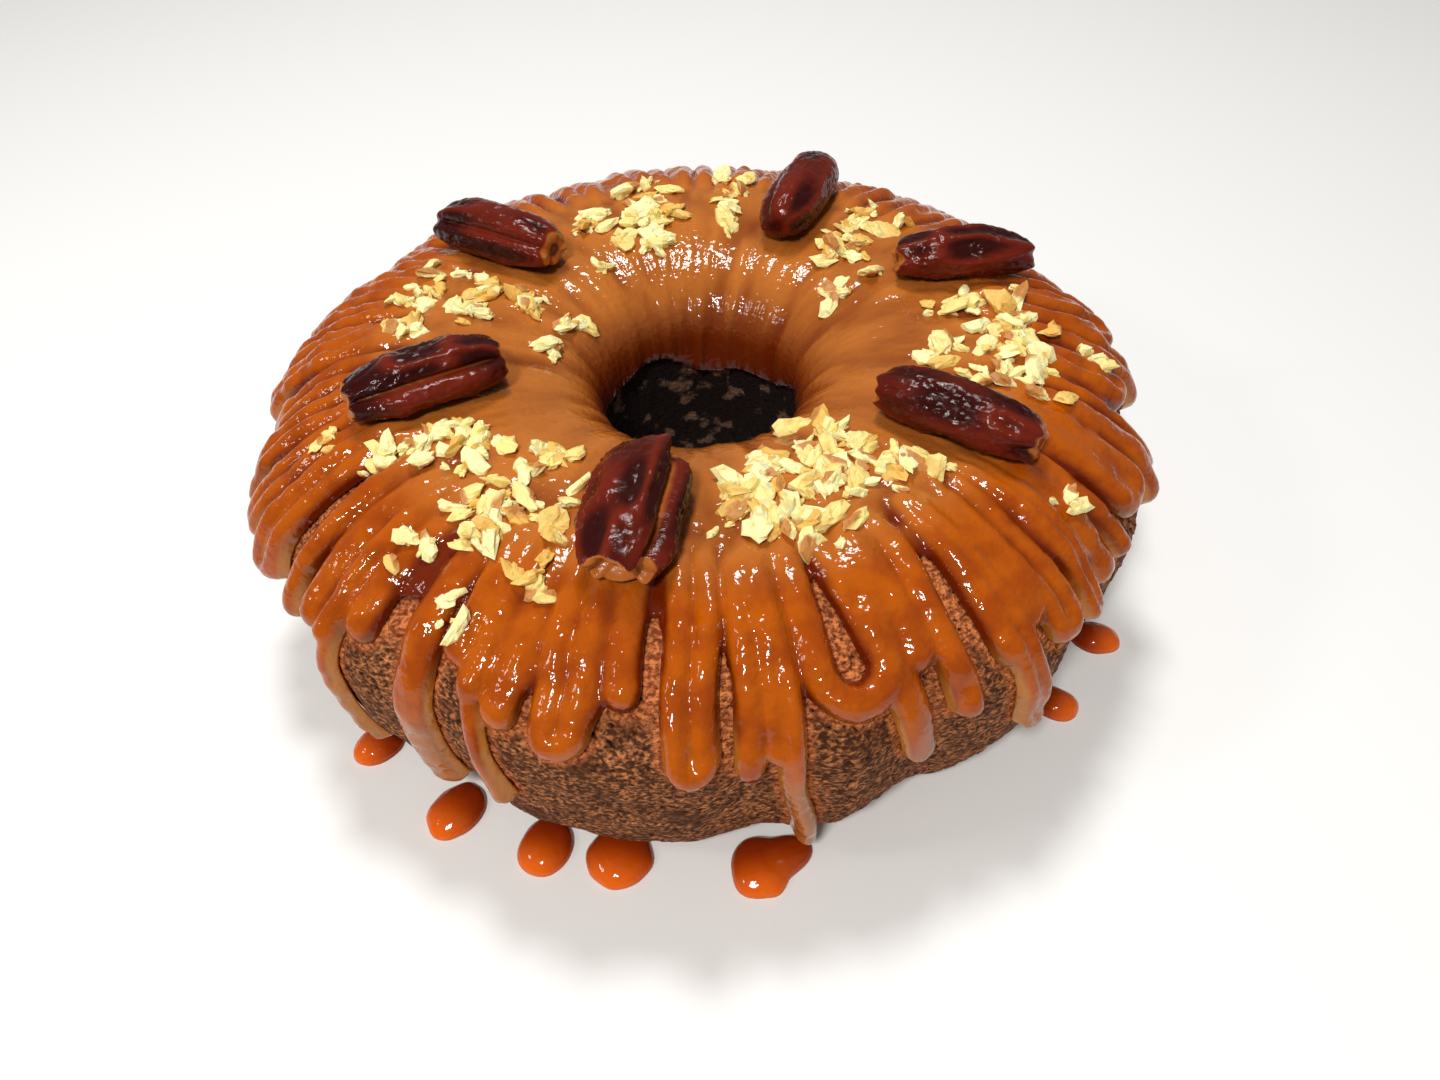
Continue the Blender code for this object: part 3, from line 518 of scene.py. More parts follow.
# dates: angle and radius of the middle, turn from radial, then length, width and height in mm,
# the slit's depth and the torn ends, outer then inner
dateRows = {
    "date_1": (-101.0, 73.0, 0.0, 43, 25, 15, 3.4, (7.0, 2.0)),
    "date_2": (-162.0, 72.0, 8.0, 43, 21, 15, 1.6, (2.8, 1.6)),
    "date_3": (142.0, 73.0, 8.0, 44, 20, 16, 1.2, (0.6, 2.4)),
    "date_4": (63.0, 71.0, 4.0, 43, 19, 16, 1.2, (0.6, 0.6)),
    "date_5": (20.0, 80.0, -16.0, 42, 19, 14, 1.2, (0.6, 2.6)),
    "date_6": (-34.0, 75.0, 2.0, 44, 19, 15, 1.2, (1.6, 2.6))}
date = {
    "around": 128, "along": 112, "power": 2.7, "crease": 0.2, "creaseAngle": 35.0,
    "creaseWidth": 22.0, "slitWidth": 9.0, "slitFade": 0.35, "slitFull": 3.0,
    "ragged": 1.3, "raggedSize": 0.45, "raggedStart": 0.55, "raggedFade": 0.4, "raggedTorn": 4.0,
    "cupStart": 0.25, "cupFade": 0.6, "cupFlesh": 0.25, "tornFull": 2.0,
    "sag": 0.5, "rest": 0.42, "clearance": 0.15, "sinkFade": 0.5,
    "fold": 0.8, "foldRange": 1.6, "foldSize": 6.0, "foldStretch": 2.4,
    "wrinkle": 0.5, "wrinkleSize": 2.1, "wrinkleSqueeze": 2,
    "seeds": {"fold": 70, "wrinkle": 90, "ragged": 131}}


def buildDate(number, name, row, material):
    # blunt pod: superellipse along, ellipse around, less a slit, long folds and fine wrinkles
    angle, radius, skew, length, width, height, slitDepth, torn = row
    length, width, height = length * mm, width * mm, height * mm
    around = np.linspace(0.0, fullTurn, date["around"], endpoint=False)
    share = np.sin(np.linspace(-math.pi / 2, math.pi / 2, date["along"] + 2))[1:-1, None]
    full = (1.0 - np.abs(share) ** date["power"]) ** (1 / date["power"])
    forward = share * length / 2 + 0 * around
    aside, upward = full * np.cos(around) * width / 2, full * np.sin(around) * height / 2
    offset = wrapAngle(around - date["creaseAngle"] * degree)
    crease = np.exp(-(offset / (date["creaseWidth"] * degree)) ** 2)
    middle = ease((1.0 - np.abs(share)) / date["slitFade"])
    slit = np.exp(-(offset / (date["slitWidth"] * degree)) ** 2) * middle
    place, seeds = np.stack([aside, upward, forward / date["foldStretch"]], -1), date["seeds"]
    noise = softNoise(place, date["foldSize"] * mm, seeds["fold"] + number)
    folds = 1.0 - np.abs(noise) * date["foldRange"]
    noise = layeredNoise(place * (1, 1, date["wrinkleSqueeze"]), date["wrinkleSize"] * mm,
                         seeds["wrinkle"] + number, 2)
    sink = (date["fold"] * (1.0 - folds) + date["wrinkle"] * np.abs(noise)
            + slitDepth * slit) * mm * ease(full / date["sinkFade"])
    scale = (1.0 - date["crease"] * crease) * (1.0 - sink / (height / 2))
    aside, upward = aside * scale, upward * scale
    edge = np.clip(1.0 - full, 0.0, 1.0)
    cup = ease((edge - date["cupStart"]) / date["cupFade"])
    ragged = softNoise(roundAxis(around, 1.0, number), date["raggedSize"], seeds["ragged"])
    forward = forward - np.where(share > 0, torn[0], -torn[1]) * cup * mm
    nearEnd = ease((np.abs(share) - date["raggedStart"]) / date["raggedFade"])
    nearEnd = np.sign(share) * nearEnd * (1 - cup)
    tornMore = 1 + np.max(torn) / date["raggedTorn"]
    forward = forward + nearEnd * ragged * date["ragged"] * tornMore * mm
    # flesh is highest round the torn rim, partly the flesh itself and partly a painted highlight, and drops
    # inside the hollow, darker there as painted shade
    lip = 4.0 * cup * (1.0 - cup) + date["cupFlesh"] * cup
    tornShare = np.where(share > 0, torn[0], torn[1]) / date["tornFull"]
    flesh = np.clip(slit * slitDepth / date["slitFull"] + lip * tornShare, 0.0, 1.0)
    ahead, centre = direction(angle + skew), direction(angle) * radius * mm
    lineX, lineY = centre[0] + forward * ahead[0], centre[1] + forward * ahead[1]
    rest = topHeight(lineX, lineY, False)
    x, y = lineX - aside * ahead[1], lineY + aside * ahead[0]
    z = date["sag"] * rest + (1 - date["sag"]) * rest.max() + date["rest"] * height + upward
    z = np.maximum(z, topHeight(x, y) + date["clearance"] * mm)
    rings, count = x.shape
    points = np.stack([x, y, z], -1).reshape(-1, 3)
    tips = np.stack([points[:count].mean(0), points[-count:].mean(0)])
    points, faces = np.concatenate([points, tips]), closedFaces(rings, count, True)
    # ridge carries painted light: the folds painted near black as shade, the ridges a lighter red-brown as a
    # painted highlight
    fields = {"flesh": np.append(np.ravel(flesh), [flesh[0].mean(), flesh[-1].mean()]),
              "ridge": np.append(np.ravel(folds), [0.5, 0.5])}
    piece = makePiece(name + "_skin", points, faces, material, fields)
    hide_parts(name)


# chopped nuts: middle angle, half spread in degrees, middle and spread past the crest in mm, count
nutClusters = [
    (-155, 2.5, -15, 5, 1), (-151, 8, 3, 9, 7), (-141, 5, -4, 5, 3), (-160, 3, 23.5, 1.5, 2),
    (-133, 1.5, 23, 4, 1), (-126, 4, -14, 5, 2), (-127, 6, 3, 7, 4), (-125.5, 5, 13, 2, 2),
    (-116.5, 3, -6, 5, 1), (-114, 1.5, 4, 3, 1), (-119.5, 1, 33, 3, 1), (-112.5, 1, 16, 1, 1),
    (-84, 5, -5, 6, 3), (-73, 7, -17, 9, 5), (-73, 6, 0, 6, 4), (-60, 6, -10, 9, 5),
    (-51, 6, -18, 7, 4), (-51, 2, -5, 6, 1), (-43, 4, 0, 6, 3), (-35, 1, 22, 6, 2),
    (-13, 7, 10, 7, 6), (-12, 5, -8, 5, 2), (-5, 1, 36, 1, 1), (-2, 5, 12, 10, 4),
    (6, 5, -4, 6, 2), (10, 6, 12, 6, 3), (18, 2, 3, 5, 1), (25, 3, -3, 3, 1),
    (30, 4, -27, 3, 1), (30, 4, -13, 3, 1), (43, 4, -14, 5, 3), (52, 5, -11, 6, 4),
    (46, 7, 2, 6, 4), (79, 3, -9, 5, 2), (81, 3, 3, 5, 2), (98, 3, -12, 4, 1),
    (107, 8, -20, 4, 3), (106, 5, -8, 4, 2), (127, 3, -23, 2, 1), (119, 5, -6, 4, 2),
    (102, 5, 3, 4, 2), (156, 5, -34, 2, 1), (155, 7, -21, 3, 3), (161, 7, -9, 4, 4),
    (150, 3, 1, 5, 2), (160, 7, 7, 6, 4), (176, 3, -32, 2, 1), (173, 3, 7, 4, 2)]
nuts = {
    "seed": 5, "tries": 60, "scatter": 0.6, "length": (7.5, 13.0), "breadth": (5.5, 8.5),
    "depth": (3.4, 5.2), "spacing": 5.5, "margin": 1.0, "lift": 0.3,
    "smallSeed": 8, "smallPerChip": 4.2, "smallLength": (3.5, 10.0), "smallBreadth": (0.45, 0.7),
    "smallThickness": (0.35, 0.5), "smallSpread": 0.6, "leastSpread": 3.0, "smallScatter": 0.75,
    "leastDepth": 3.5, "smallMargin": 0.7, "rings": 6, "around": 12,
    "cuts": 9, "cutDistance": (0.45, 0.95), "grazing": 0.08, "longest": 1.2, "uneven": (0.88, 1.12),
    "notch": 0.64, "notchSize": 0.6, "notchScale": 1.1, "notchStep": 7.0, "notchSeed": 211,
    "flat": 0.9, "bend": 0.35, "tilt": 36.0, "skinStart": 0.35, "skinFade": 0.4, "skinShare": 0.45}


def nearDate(spot, margin):
    # true where a chip would come too close to a date
    for angle, radius, skew, length, width, height, slitDepth, torn in dateRows.values():
        ahead, offset = direction(angle + skew), spot[:2] - direction(angle) * radius * mm
        forward, aside = abs(offset @ ahead), abs(offset[0] * ahead[1] - offset[1] * ahead[0])
        if forward < length * mm / 2 + margin and aside < width * mm / 2 + margin:
            return True
    return False


def placeNuts():
    # the large chips, drawn cluster by cluster and kept apart, then small ones strewn among them
    draw = np.random.RandomState(nuts["seed"])
    placed, chips = [], []
    for middle, spread, ring, depth, count in nutClusters:
        inCluster, tries = 0, 0
        while inCluster < count and tries < nuts["tries"]:
            tries += 1
            angle = (middle + draw.uniform(-1, 1) * spread) * degree
            along = (ring + draw.normal() * depth * nuts["scatter"]) * mm
            sides = [draw.uniform(*nuts[side]) for side in ("length", "breadth", "depth")]
            size = np.array(sides) * mm / 2
            swing = draw.uniform(0, fullTurn)
            spot = cakePoints(np.array(angle), np.array(along), 0.0)
            crowded = any(np.linalg.norm(spot - other) < nuts["spacing"] * mm for other in placed)
            if crowded or nearDate(spot, size[0] + nuts["margin"] * mm):
                continue
            placed.append(spot)
            chips.append((angle, along, *size, swing))
            inCluster += 1
    draw = np.random.RandomState(nuts["smallSeed"])
    for middle, spread, ring, depth, count in nutClusters:
        for _ in range(int(count * nuts["smallPerChip"])):
            aside = draw.normal() * max(spread, nuts["leastSpread"]) * nuts["smallSpread"]
            ahead = draw.normal() * max(depth, nuts["leastDepth"]) * nuts["smallScatter"]
            angle, along = (middle + aside) * degree, (ring + ahead) * mm
            length = draw.uniform(*nuts["smallLength"])
            sides = [length * draw.uniform(*nuts[side]) for side in ("smallBreadth", "smallThickness")]
            size = np.array([length, *sides]) * mm / 2
            spot = cakePoints(np.array(angle), np.array(along), 0.0)
            if not nearDate(spot, size[0] * nuts["smallMargin"]):
                chips.append((angle, along, *size, draw.uniform(0, fullTurn)))
    return np.array(chips)


def buildNuts(material):
    # each chip is a ball of directions cut by planes: radius = smallest of distance / (direction · plane)
    chips = placeNuts() * (1, 1, 1, 1, nuts["flat"], 1)
    draw = np.random.RandomState(nuts["smallSeed"] + 1)
    rings, count, total = nuts["rings"], nuts["around"], len(chips)
    polar = np.linspace(0, math.pi, rings + 2)[1:-1, None]
    swing = np.linspace(0, fullTurn, count, endpoint=False)
    ball = roundAxis(swing, np.sin(polar), np.cos(polar)).reshape(-1, 3)
    ball = np.concatenate([ball, [[0, 0, 1], [0, 0, -1]]])
    planes = draw.normal(size=(total, nuts["cuts"], 3))
    planes /= np.linalg.norm(planes, axis=-1, keepdims=True)
    distance = draw.uniform(*nuts["cutDistance"], (total, 1, nuts["cuts"]))
    facing = np.einsum("vk,cpk->cvp", ball, planes)
    radius = np.min(distance / np.maximum(facing, nuts["grazing"]), axis=-1)
    radius = np.minimum(radius, nuts["longest"]) * draw.uniform(*nuts["uneven"], radius.shape)
    place = ball * nuts["notchScale"] + nuts["notchStep"] * np.arange(total)[:, None, None]
    notches = softNoise(place, nuts["notchSize"], nuts["notchSeed"])
    radius = radius * (1.0 - nuts["notch"] * np.maximum(notches, 0.0))
    local = ball * radius[..., None] * chips[:, None, 2:5]
    bend = draw.uniform(-nuts["bend"], nuts["bend"], (total, 1))
    local[..., 2] += bend * (local[..., 0] / chips[:, 2:3]) ** 2 * chips[:, 4:5]
    angle, along = chips[:, 0], chips[:, 1]
    outRadius, outHeight = profileAt(along, 3, 4)
    normal = roundAxis(angle, outRadius, outHeight)
    normal = normal + draw.normal(size=normal.shape) * math.tan(nuts["tilt"] * degree) / 2
    normal /= np.linalg.norm(normal, axis=-1, keepdims=True)
    aside = np.stack([-np.sin(angle), np.cos(angle), 0 * angle], -1)
    forward = np.cross(aside, normal)
    forward /= np.linalg.norm(forward, axis=-1, keepdims=True)
    aside = np.cross(normal, forward)
    c, s = np.cos(chips[:, 5:6]), np.sin(chips[:, 5:6])
    first, second = forward * c + aside * s, aside * c - forward * s
    top = cakePoints(angle, along, coat["clearance"] * mm + caramel(angle, along)[1])
    centre = top + normal * chips[:, 4:5] * nuts["lift"]
    points = (centre[:, None] + local[..., :1] * first[:, None] + local[..., 1:2] * second[:, None]
              + local[..., 2:] * normal[:, None])
    steps = np.arange(total)[:, None, None] * len(ball)
    faces = [(faceSet + steps).reshape(-1, faceSet.shape[1]) for faceSet in closedFaces(rings, count)]
    skinSide = draw.normal(size=(total, 3))
    skinSide /= np.linalg.norm(skinSide, axis=-1, keepdims=True)
    skin = ease((np.einsum("vk,ck->cv", ball, skinSide) - nuts["skinStart"]) / nuts["skinFade"])
    skin = skin * (draw.uniform(size=(total, 1)) < nuts["skinShare"])
    tint = np.repeat(draw.uniform(size=(total, 1)), len(ball), axis=1)
    piece = makePiece("chopped_nuts", points, faces, material, {"skin": skin, "tint": tint})
    piece.data.shade_flat()
    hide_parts("caramel_icing")
    print("nuts:", total, "chips")


# caramel drops at the foot: angle, radius of the middle, radial and sideways half sizes in mm, and the
# growth of a lobe towards the drip beside it
poolRows = {
    "caramel_pool_1": (-139.3, 118.0, 7.5, 6.0, 0), "caramel_pool_2": (-123.8, 117.5, 9.0, 7.2, 0),
    "caramel_pool_3": (-111.0, 116.5, 8.5, 7.2, 0), "caramel_pool_4": (-101.7, 114.5, 8.5, 8.6, 0),
    "caramel_pool_5": (-84.5, 116.6, 9.0, 7.6, 0.95), "caramel_pool_6": (-37.2, 118.0, 7.0, 5.4, 0),
    "caramel_pool_7": (-24.0, 121.0, 7.5, 5.6, 0)}
pool = {
    "height": 4.2, "around": 80, "rings": 26, "wobble": 0.08, "wobbleSize": 5.0, "wobbleStep": 9,
    "wobbleSeed": 150, "clearance": 0.3, "tuckSteps": 200, "lobeTurn": 108.0, "lobeWidth": 26.0}


def buildPool(number, name, row, material):
    # low dome, half an ellipse in section, its outline wavering, its inner side kept clear of the cake
    angle, radius, radial, sideways, lobe = row
    around = np.linspace(0.0, fullTurn, pool["around"], endpoint=False)
    rise = np.sin(np.linspace(0.0, math.pi / 2, pool["rings"] + 1))[:-1, None]
    spread = np.sqrt(1.0 - rise ** 2)
    ring = roundAxis(around, 1.0, pool["wobbleStep"] * number) * (radial, sideways, 1) * mm
    noise = softNoise(ring, pool["wobbleSize"] * mm, pool["wobbleSeed"])
    waver = 1.0 + pool["wobble"] * noise
    waver = waver / waver.max()
    turn = wrapAngle(around - pool["lobeTurn"] * degree) / (pool["lobeWidth"] * degree)
    waver = waver * (1.0 + lobe * np.exp(-turn ** 2))
    outward = radius * mm + spread * np.cos(around) * radial * mm * waver
    aside = spread * np.sin(around) * sideways * mm * waver
    height = rise * pool["height"] * mm + 0 * around
    tuck = np.linspace(profile[0][np.argmax(profile[1])], footEnd, pool["tuckSteps"])
    sideRadius, sideHeight = profileAt(tuck, 1, 2)
    clear = np.interp(height, sideHeight[::-1], sideRadius[::-1]) + pool["clearance"] * mm
    outward = np.append(np.maximum(outward, clear), [radius * mm, radius * mm])
    aside, height = np.append(aside, [0.0, 0.0]), np.append(height, [0.0, pool["height"] * mm])
    ahead = direction(angle)
    points = np.stack([outward * ahead[0] - aside * ahead[1], outward * ahead[1] + aside * ahead[0],
                       height], -1)
    faces = closedFaces(pool["rings"], pool["around"], True)
    # glow: how far a place lies towards the outer side, for painted light there and painted shade on the side
    # towards the cake
    glow = np.append((spread * np.cos(around)).ravel(), [0.0, 0.0])
    piece = makePiece(name + "_drop", points, faces, material, {"glow": glow})
    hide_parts(name)


# materials

def addNode(tree, kind, inputs=None, **settings):
    node = tree.nodes.new(kind)
    for setting, value in settings.items():
        setattr(node, setting, value)
    for socket, value in (inputs or {}).items():
        if isinstance(value, bpy.types.NodeSocket):
            tree.links.new(value, node.inputs[socket])
        else:
            node.inputs[socket].default_value = value
    return node


def noiseGroup(name, output, kind, shaper, height, own, **settings):
    # a group with noise of a given size, squeezed in height by Rise so that it lies in level streaks,
    # and a node that shapes it by two inputs of its own
    group = bpy.data.node_groups.new(name, "ShaderNodeTree")
    for socket in ("Scale", "Detail", *own, "Rise"):
        made = group.interface.new_socket(name=socket, in_out="INPUT", socket_type="NodeSocketFloat")
        made.default_value = 1.0
    group.interface.new_socket(name=output, in_out="OUTPUT", socket_type=kind)
    given, result = group.nodes.new("NodeGroupInput").outputs, group.nodes.new("NodeGroupOutput").inputs
    place = addNode(group, "ShaderNodeTexCoord")
    rise = addNode(group, "ShaderNodeCombineXYZ", {"X": 1.0, "Y": 1.0, "Z": given["Rise"]})
    place = addNode(group, "ShaderNodeVectorMath", {0: place.outputs["Object"], 1: rise.outputs[0]},
                    operation="MULTIPLY")
    noise = addNode(group, "ShaderNodeTexNoise", {"Vector": place.outputs[0], "Scale": given["Scale"],
                    "Detail": given["Detail"]})
    inputs = {height: noise.outputs[0], **{inner: given[socket] for socket, inner in own.items()}}
    group.links.new(addNode(group, shaper, inputs, **settings).outputs[0], result[0])
    return group


# blotches, spread from 0 at Low to 1 at High, and a bump for the surface's fine unevenness
mottle = noiseGroup("mottle", "Mask", "NodeSocketFloat", "ShaderNodeMapRange", "Value",
                    {"Low": "From Min", "High": "From Max"}, interpolation_type="SMOOTHSTEP")
grain = noiseGroup("grain", "Normal", "NodeSocketVector", "ShaderNodeBump", "Height",
                   {"Strength": "Strength", "Distance": "Distance"})


def newMaterial(name, values):
    material = bpy.data.materials.new(name)
    material.use_nodes = True
    shader = material.node_tree.nodes["Principled BSDF"]
    for socket, value in values.items():
        shader.inputs[socket].default_value = value
    return material, material.node_tree, shader


def useGroup(tree, group, values):
    # a group's result, its inputs given in their order: scale, detail, the group's own two, and rise
    node = addNode(tree, "ShaderNodeGroup", None, node_tree=group)
    for socket, value in zip(node.inputs, values):
        socket.default_value = value
    return node.outputs[0]


def field(tree, name, low, high, most=1.0):
    # a value stored in the mesh, spread from 0 at low to its most at high
    stored = addNode(tree, "ShaderNodeAttribute", attribute_name=name)
    spread = addNode(tree, "ShaderNodeMapRange", {"Value": stored.outputs["Fac"], "From Min": low,
                     "From Max": high, "To Max": most}, interpolation_type="SMOOTHSTEP")
    return spread.outputs[0]


def mixColor(tree, factor, first, second):
    mix = addNode(tree, "ShaderNodeMix", None, data_type="RGBA")
    for socket, value in zip((0, 6, 7), (factor, first, second)):
        if isinstance(value, bpy.types.NodeSocket):
            tree.links.new(value, mix.inputs[socket])
        else:
            mix.inputs[socket].default_value = (*value, 1.0)
    return mix.outputs[2]


def blotch(tree, blotches, first, second):
    # one colour, with blotches of another
    return mixColor(tree, useGroup(tree, mottle, blotches), first, second)


def cover(tree, color, layer, *most):
    # a colour laid over another by a stored value: the colour, then what field takes
    over, *span = layer
    return mixColor(tree, field(tree, *span, *most), color, over)


def dress(tree, shader, look, color):
    # the colour, the grain and, where it isn't even, the roughness joined to the shader
    tree.links.new(color, shader.inputs["Base Color"])
    tree.links.new(useGroup(tree, grain, look["grain"]), shader.inputs["Normal"])
    if "roughness" in look:
        low, high = look["roughness"]
        rough = addNode(tree, "ShaderNodeMapRange", {"Value": useGroup(tree, mottle, look["shine"]),
                        "To Min": low, "To Max": high})
        tree.links.new(rough.outputs[0], shader.inputs["Roughness"])


# looks: a colour alone, or with the stored value that lays it on and where that is 0 and 1; blotches and
# grain have their scale, detail, low and high or strength and distance, and rise
caramelLook = {
    "deep": (0.31, 0.050, 0.001), "mid": (0.41, 0.080, 0.001), "blotches": (120.0, 4.0, 0.35, 0.62),
    # crest: a paler colour over the crest, a painted sheen
    "crest": ((0.47, 0.145, 0.022), "along", 22.0, 0.0),
    # shade: painted shade, darker down the inner slope into the hole; red: darker red where the caramel is
    # thin, mostly in the creases between strands, partly its own tone and partly painted shade
    "shade": ((0.14, 0.020, 0.003), "along", -34.0, -52.0), "red": ((0.13, 0.012, 0.001), "thick", 3.3, 1.3),
    "thin": ((0.36, 0.13, 0.035), "along", 55.0, 64.0, 0.7),
    "rim": ((0.46, 0.165, 0.024), "along", 40.0, 56.0), "nearRim": ("reach", 1.4, 0.4),
    "roughness": (0.04, 0.13), "shine": (240.0, 2.0, 0.35, 0.65), "grain": (520.0, 1.5, 0.55, 0.0006),
    "shader": {"IOR": 1.45, "Specular IOR Level": 0.38, "Subsurface Weight": 0.06,
               "Subsurface Scale": 0.003, "Subsurface Radius": (1.0, 0.35, 0.1)}}


def makeCaramel():
    # painted sheen paler over the crest, painted shade darker down into the hole, darker red in the creases,
    # partly thin caramel's own tone and partly painted shade, pale at its thin ends and rims
    material, tree, shader = newMaterial("caramel", caramelLook["shader"])
    color = blotch(tree, caramelLook["blotches"], caramelLook["deep"], caramelLook["mid"])
    for layer in ("crest", "shade", "red", "thin"):
        color = cover(tree, color, caramelLook[layer])
    color = cover(tree, color, caramelLook["rim"], field(tree, *caramelLook["nearRim"]))
    dress(tree, shader, caramelLook, color)
    return material


poolLook = {
    # thick: painted shade, dark red in the middle and on the side towards the cake; thin: painted light,
    # bright orange towards the outer side
    "thick": (0.25, 0.024, 0.002), "thin": ((0.82, 0.135, 0.003), "glow", -0.4, 1.1),
    "grain": (220.0, 2.0, 0.5, 0.0010),
    "shader": {"IOR": 1.45, "Specular IOR Level": 0.45, "Roughness": 0.09, "Subsurface Weight": 0.3,
               "Subsurface Scale": 0.003, "Subsurface Radius": (1.0, 0.25, 0.05)}}


def makePoolCaramel():
    # clearer and redder than the coat, painted light making it bright at the outer side, where light comes
    # back through it, and painted shade keeping it dark red in the middle and on the side towards the cake
    material, tree, shader = newMaterial("caramel_drop", poolLook["shader"])
    dress(tree, shader, poolLook, cover(tree, poolLook["thick"], poolLook["thin"]))
    return material


crumbLook = {
    "dark": (0.080, 0.025, 0.010), "light": (0.74, 0.27, 0.095), "breaks": (750.0, 6.0, 0.40, 0.72, 1.8),
    "patches": (70.0, 4.0, 0.45, 0.75, 1.8), "wet": (0.25, 0.055, 0.016), "soaked": (0.78, 0.24, 0.075),
    "soakBlotches": (800.0, 5.0, 0.38, 0.62, 1.8), "nearCoat": ("soak", 0.15, 1.0),
    # pore: painted shade, near black in the pores; hole and wall: painted shade near black down the hole,
    # with blotches of paler crumb as painted light on its wall
    "pore": ((0.020, 0.006, 0.003), "pore", 0.25, 0.9), "hole": (0.012, 0.004, 0.003),
    "wall": (0.20, 0.105, 0.065), "wallBlotches": (130.0, 3.0, 0.52, 0.62), "inHole": ("hole", 0.0, 1.0),
    "grain": (600.0, 6.0, 1.0, 0.0030, 1.8),
    "shader": {"Roughness": 0.75, "IOR": 1.4, "Specular IOR Level": 0.2}}


def makeCrumb():
    # dark crust with lighter crumb breaking through, caramel soaked in near the coat, painted shade near
    # black in the pores and down the hole, and paler blotches of painted light on the hole's wall
    material, tree, shader = newMaterial("crumb", crumbLook["shader"])
    color = blotch(tree, crumbLook["breaks"], crumbLook["dark"], crumbLook["light"])
    color = blotch(tree, crumbLook["patches"], color, crumbLook["dark"])
    soaked = blotch(tree, crumbLook["soakBlotches"], crumbLook["wet"], crumbLook["soaked"])
    # the hole's painted shade, near black, with paler blotches of painted light
    wall = blotch(tree, crumbLook["wallBlotches"], crumbLook["hole"], crumbLook["wall"])
    for layer in ((soaked, *crumbLook["nearCoat"]), crumbLook["pore"], (wall, *crumbLook["inHole"])):
        color = cover(tree, color, layer)
    dress(tree, shader, crumbLook, color)
    return material


nutLook = {
    "amber": (0.76, 0.44, 0.09), "cream": ((0.88, 0.69, 0.24), "tint", 0.05, 0.3),
    "pale": ((0.93, 0.83, 0.40), "tint", 0.35, 0.8), "blotches": (300.0, 3.0, 0.55, 0.75),
    "skin": ((0.50, 0.21, 0.05), "skin", 0.1, 0.8), "grain": (700.0, 4.0, 0.5, 0.0005),
    "shader": {"Roughness": 0.5, "IOR": 1.45, "Subsurface Weight": 0.35, "Subsurface Scale": 0.002,
               "Subsurface Radius": (1.0, 0.7, 0.2)}}


def makeNut():
    # cream kernel, each chip with its own tint, brown skin left on some sides
    material, tree, shader = newMaterial("chopped_nut", nutLook["shader"])
    color = cover(tree, nutLook["amber"], nutLook["cream"])
    color = cover(tree, color, nutLook["pale"])
    color = blotch(tree, nutLook["blotches"], color, nutLook["amber"])
    dress(tree, shader, nutLook, cover(tree, color, nutLook["skin"]))
    return material


dateLook = {
    # dark: painted shade, near black in the folds; red: a lighter red-brown laid on the ridges, a painted
    # highlight
    "dark": (0.028, 0.0030, 0.0022), "red": ((0.135, 0.013, 0.005), "ridge", 0.0, 1.0),
    "flesh": ((0.42, 0.12, 0.02), "flesh", 0.3, 0.9), "roughness": (0.09, 0.24),
    "shine": (300.0, 2.0, 0.35, 0.65), "grain": (800.0, 4.0, 0.4, 0.0004),
    "shader": {"IOR": 1.42, "Specular IOR Level": 0.22, "Subsurface Weight": 0.05,
               "Subsurface Scale": 0.002}}


def makeDateSkin():
    # near black in the folds as painted shade, a lighter red-brown on the ridges as a painted highlight,
    # amber flesh where it is torn, less of it inside the torn hollows as painted shade
    material, tree, shader = newMaterial("date_skin", dateLook["shader"])
    color = cover(tree, dateLook["dark"], dateLook["red"])
    dress(tree, shader, dateLook, cover(tree, color, dateLook["flesh"]))
    return material


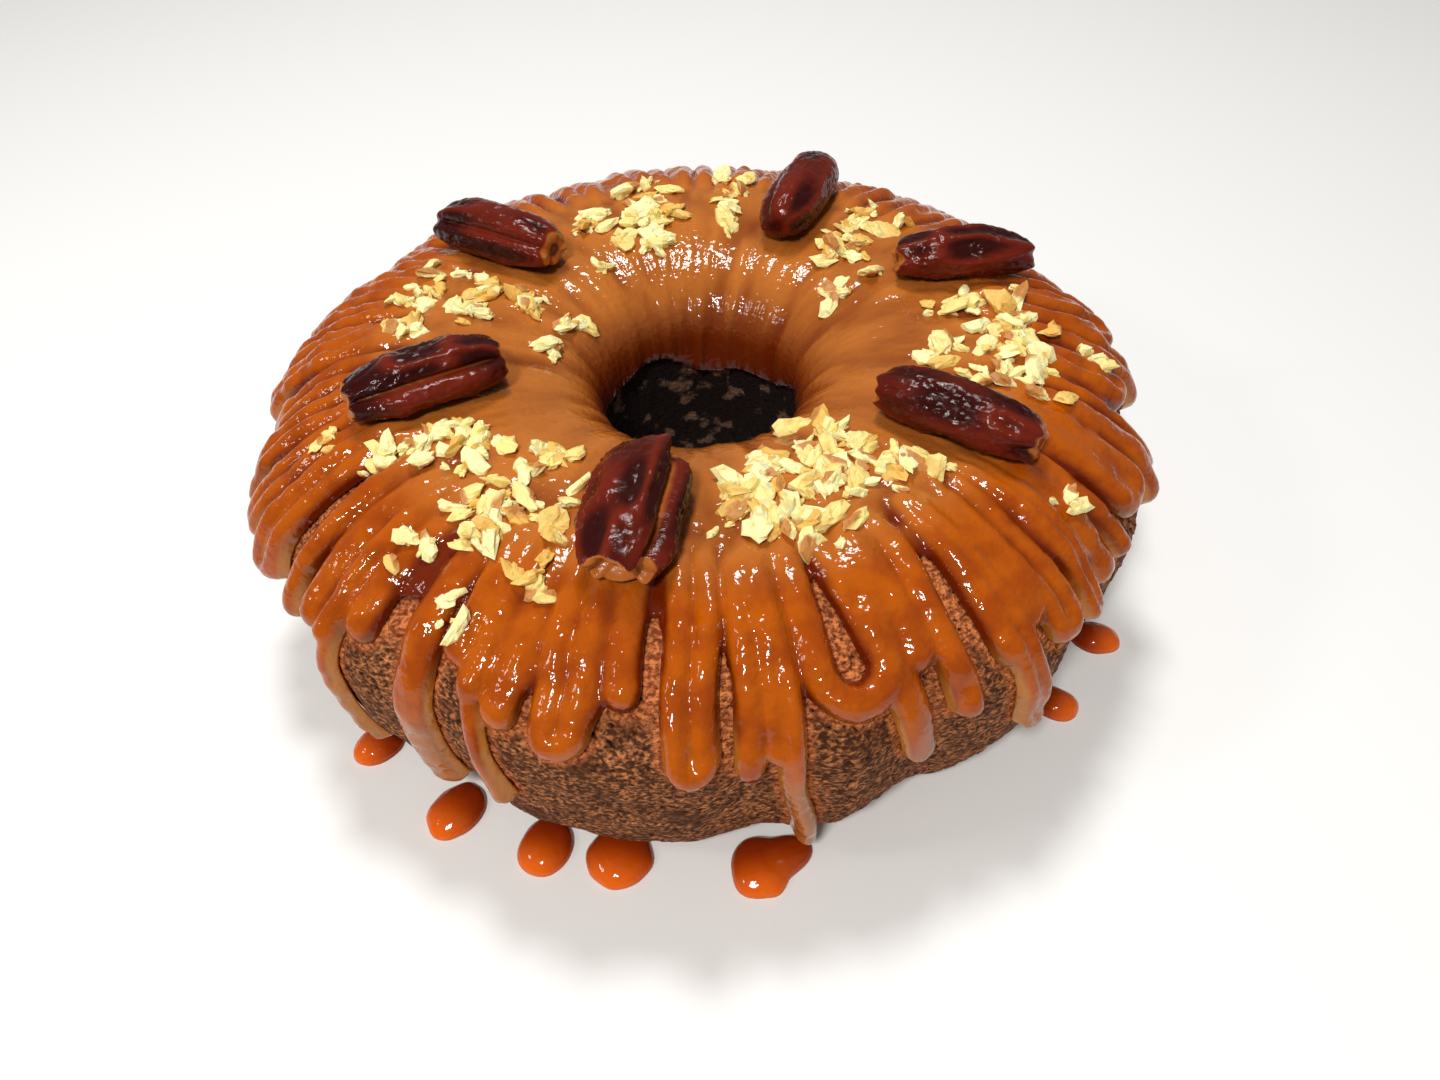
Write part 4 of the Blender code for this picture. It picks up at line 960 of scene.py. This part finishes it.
buildCrumb(makeCrumb())
print("crumb built")
buildCoat(makeCaramel())
print("caramel coat built")
buildNuts(makeNut())
dateSkin = makeDateSkin()
for number, (name, row) in enumerate(dateRows.items()):
    buildDate(number, name, row, dateSkin)
print("dates built")
dropCaramel = makePoolCaramel()
for number, (name, row) in enumerate(poolRows.items()):
    buildPool(number, name, row, dropCaramel)
print("drops built")


# floor, light and background
studio = {
    "floorRadius": 4.0, "floorSides": 128, "floor": (0.86, 0.855, 0.84),
    "background": (1.0, 0.99, 0.97), "glow": 0.2, "backdrop": 0.6,
    "lights": (("key", (-0.25, -0.75, 1.05), 0.2, 10.5, (1.0, 0.98, 0.95)),
               ("top", (-0.05, 0.35, 1.10), 0.28, 7.5, (1.0, 1.0, 1.0)),
               ("side", (-0.9, -0.3, 0.8), 0.2, 1.6, (1.0, 0.98, 0.95)))}


def addStudio():
    turns = np.linspace(0.0, fullTurn, studio["floorSides"], endpoint=False)
    rim = roundAxis(turns, studio["floorRadius"], 0.0)
    mesh = bpy.data.meshes.new("floor")
    mesh.from_pydata(rim.tolist(), [], [range(len(rim))])
    material, tree, shader = newMaterial("floor", {"Base Color": (*studio["floor"], 1.0), "Roughness": 0.6})
    mesh.materials.append(material)
    floor = bpy.data.objects.new("floor", mesh)
    bpy.context.scene.collection.objects.link(floor)
    for name, place, size, power, color in studio["lights"]:
        lamp = bpy.data.lights.new(name, "AREA")
        lamp.shape, lamp.size, lamp.energy, lamp.color = "DISK", size, power, color
        light = bpy.data.objects.new(name, lamp)
        light.location = place
        light.rotation_euler = (-Vector(place)).to_track_quat("-Z", "Y").to_euler()
        bpy.context.scene.collection.objects.link(light)
    world = bpy.data.worlds.new("studio")
    world.use_nodes = True
    tree, color = world.node_tree, (*studio["background"], 1.0)
    glow, backdrop = (addNode(tree, "ShaderNodeBackground", {"Color": color, "Strength": studio[strength]})
                      for strength in ("glow", "backdrop"))
    seen = addNode(tree, "ShaderNodeLightPath")
    chosen = addNode(tree, "ShaderNodeMixShader", {0: seen.outputs["Is Camera Ray"], 1: glow.outputs[0],
                     2: backdrop.outputs[0]})
    tree.links.new(chosen.outputs[0], tree.nodes["World Output"].inputs["Surface"])
    bpy.context.scene.world = world
    bpy.context.scene.view_settings.view_transform = "Standard"


addStudio()
print("studio set")
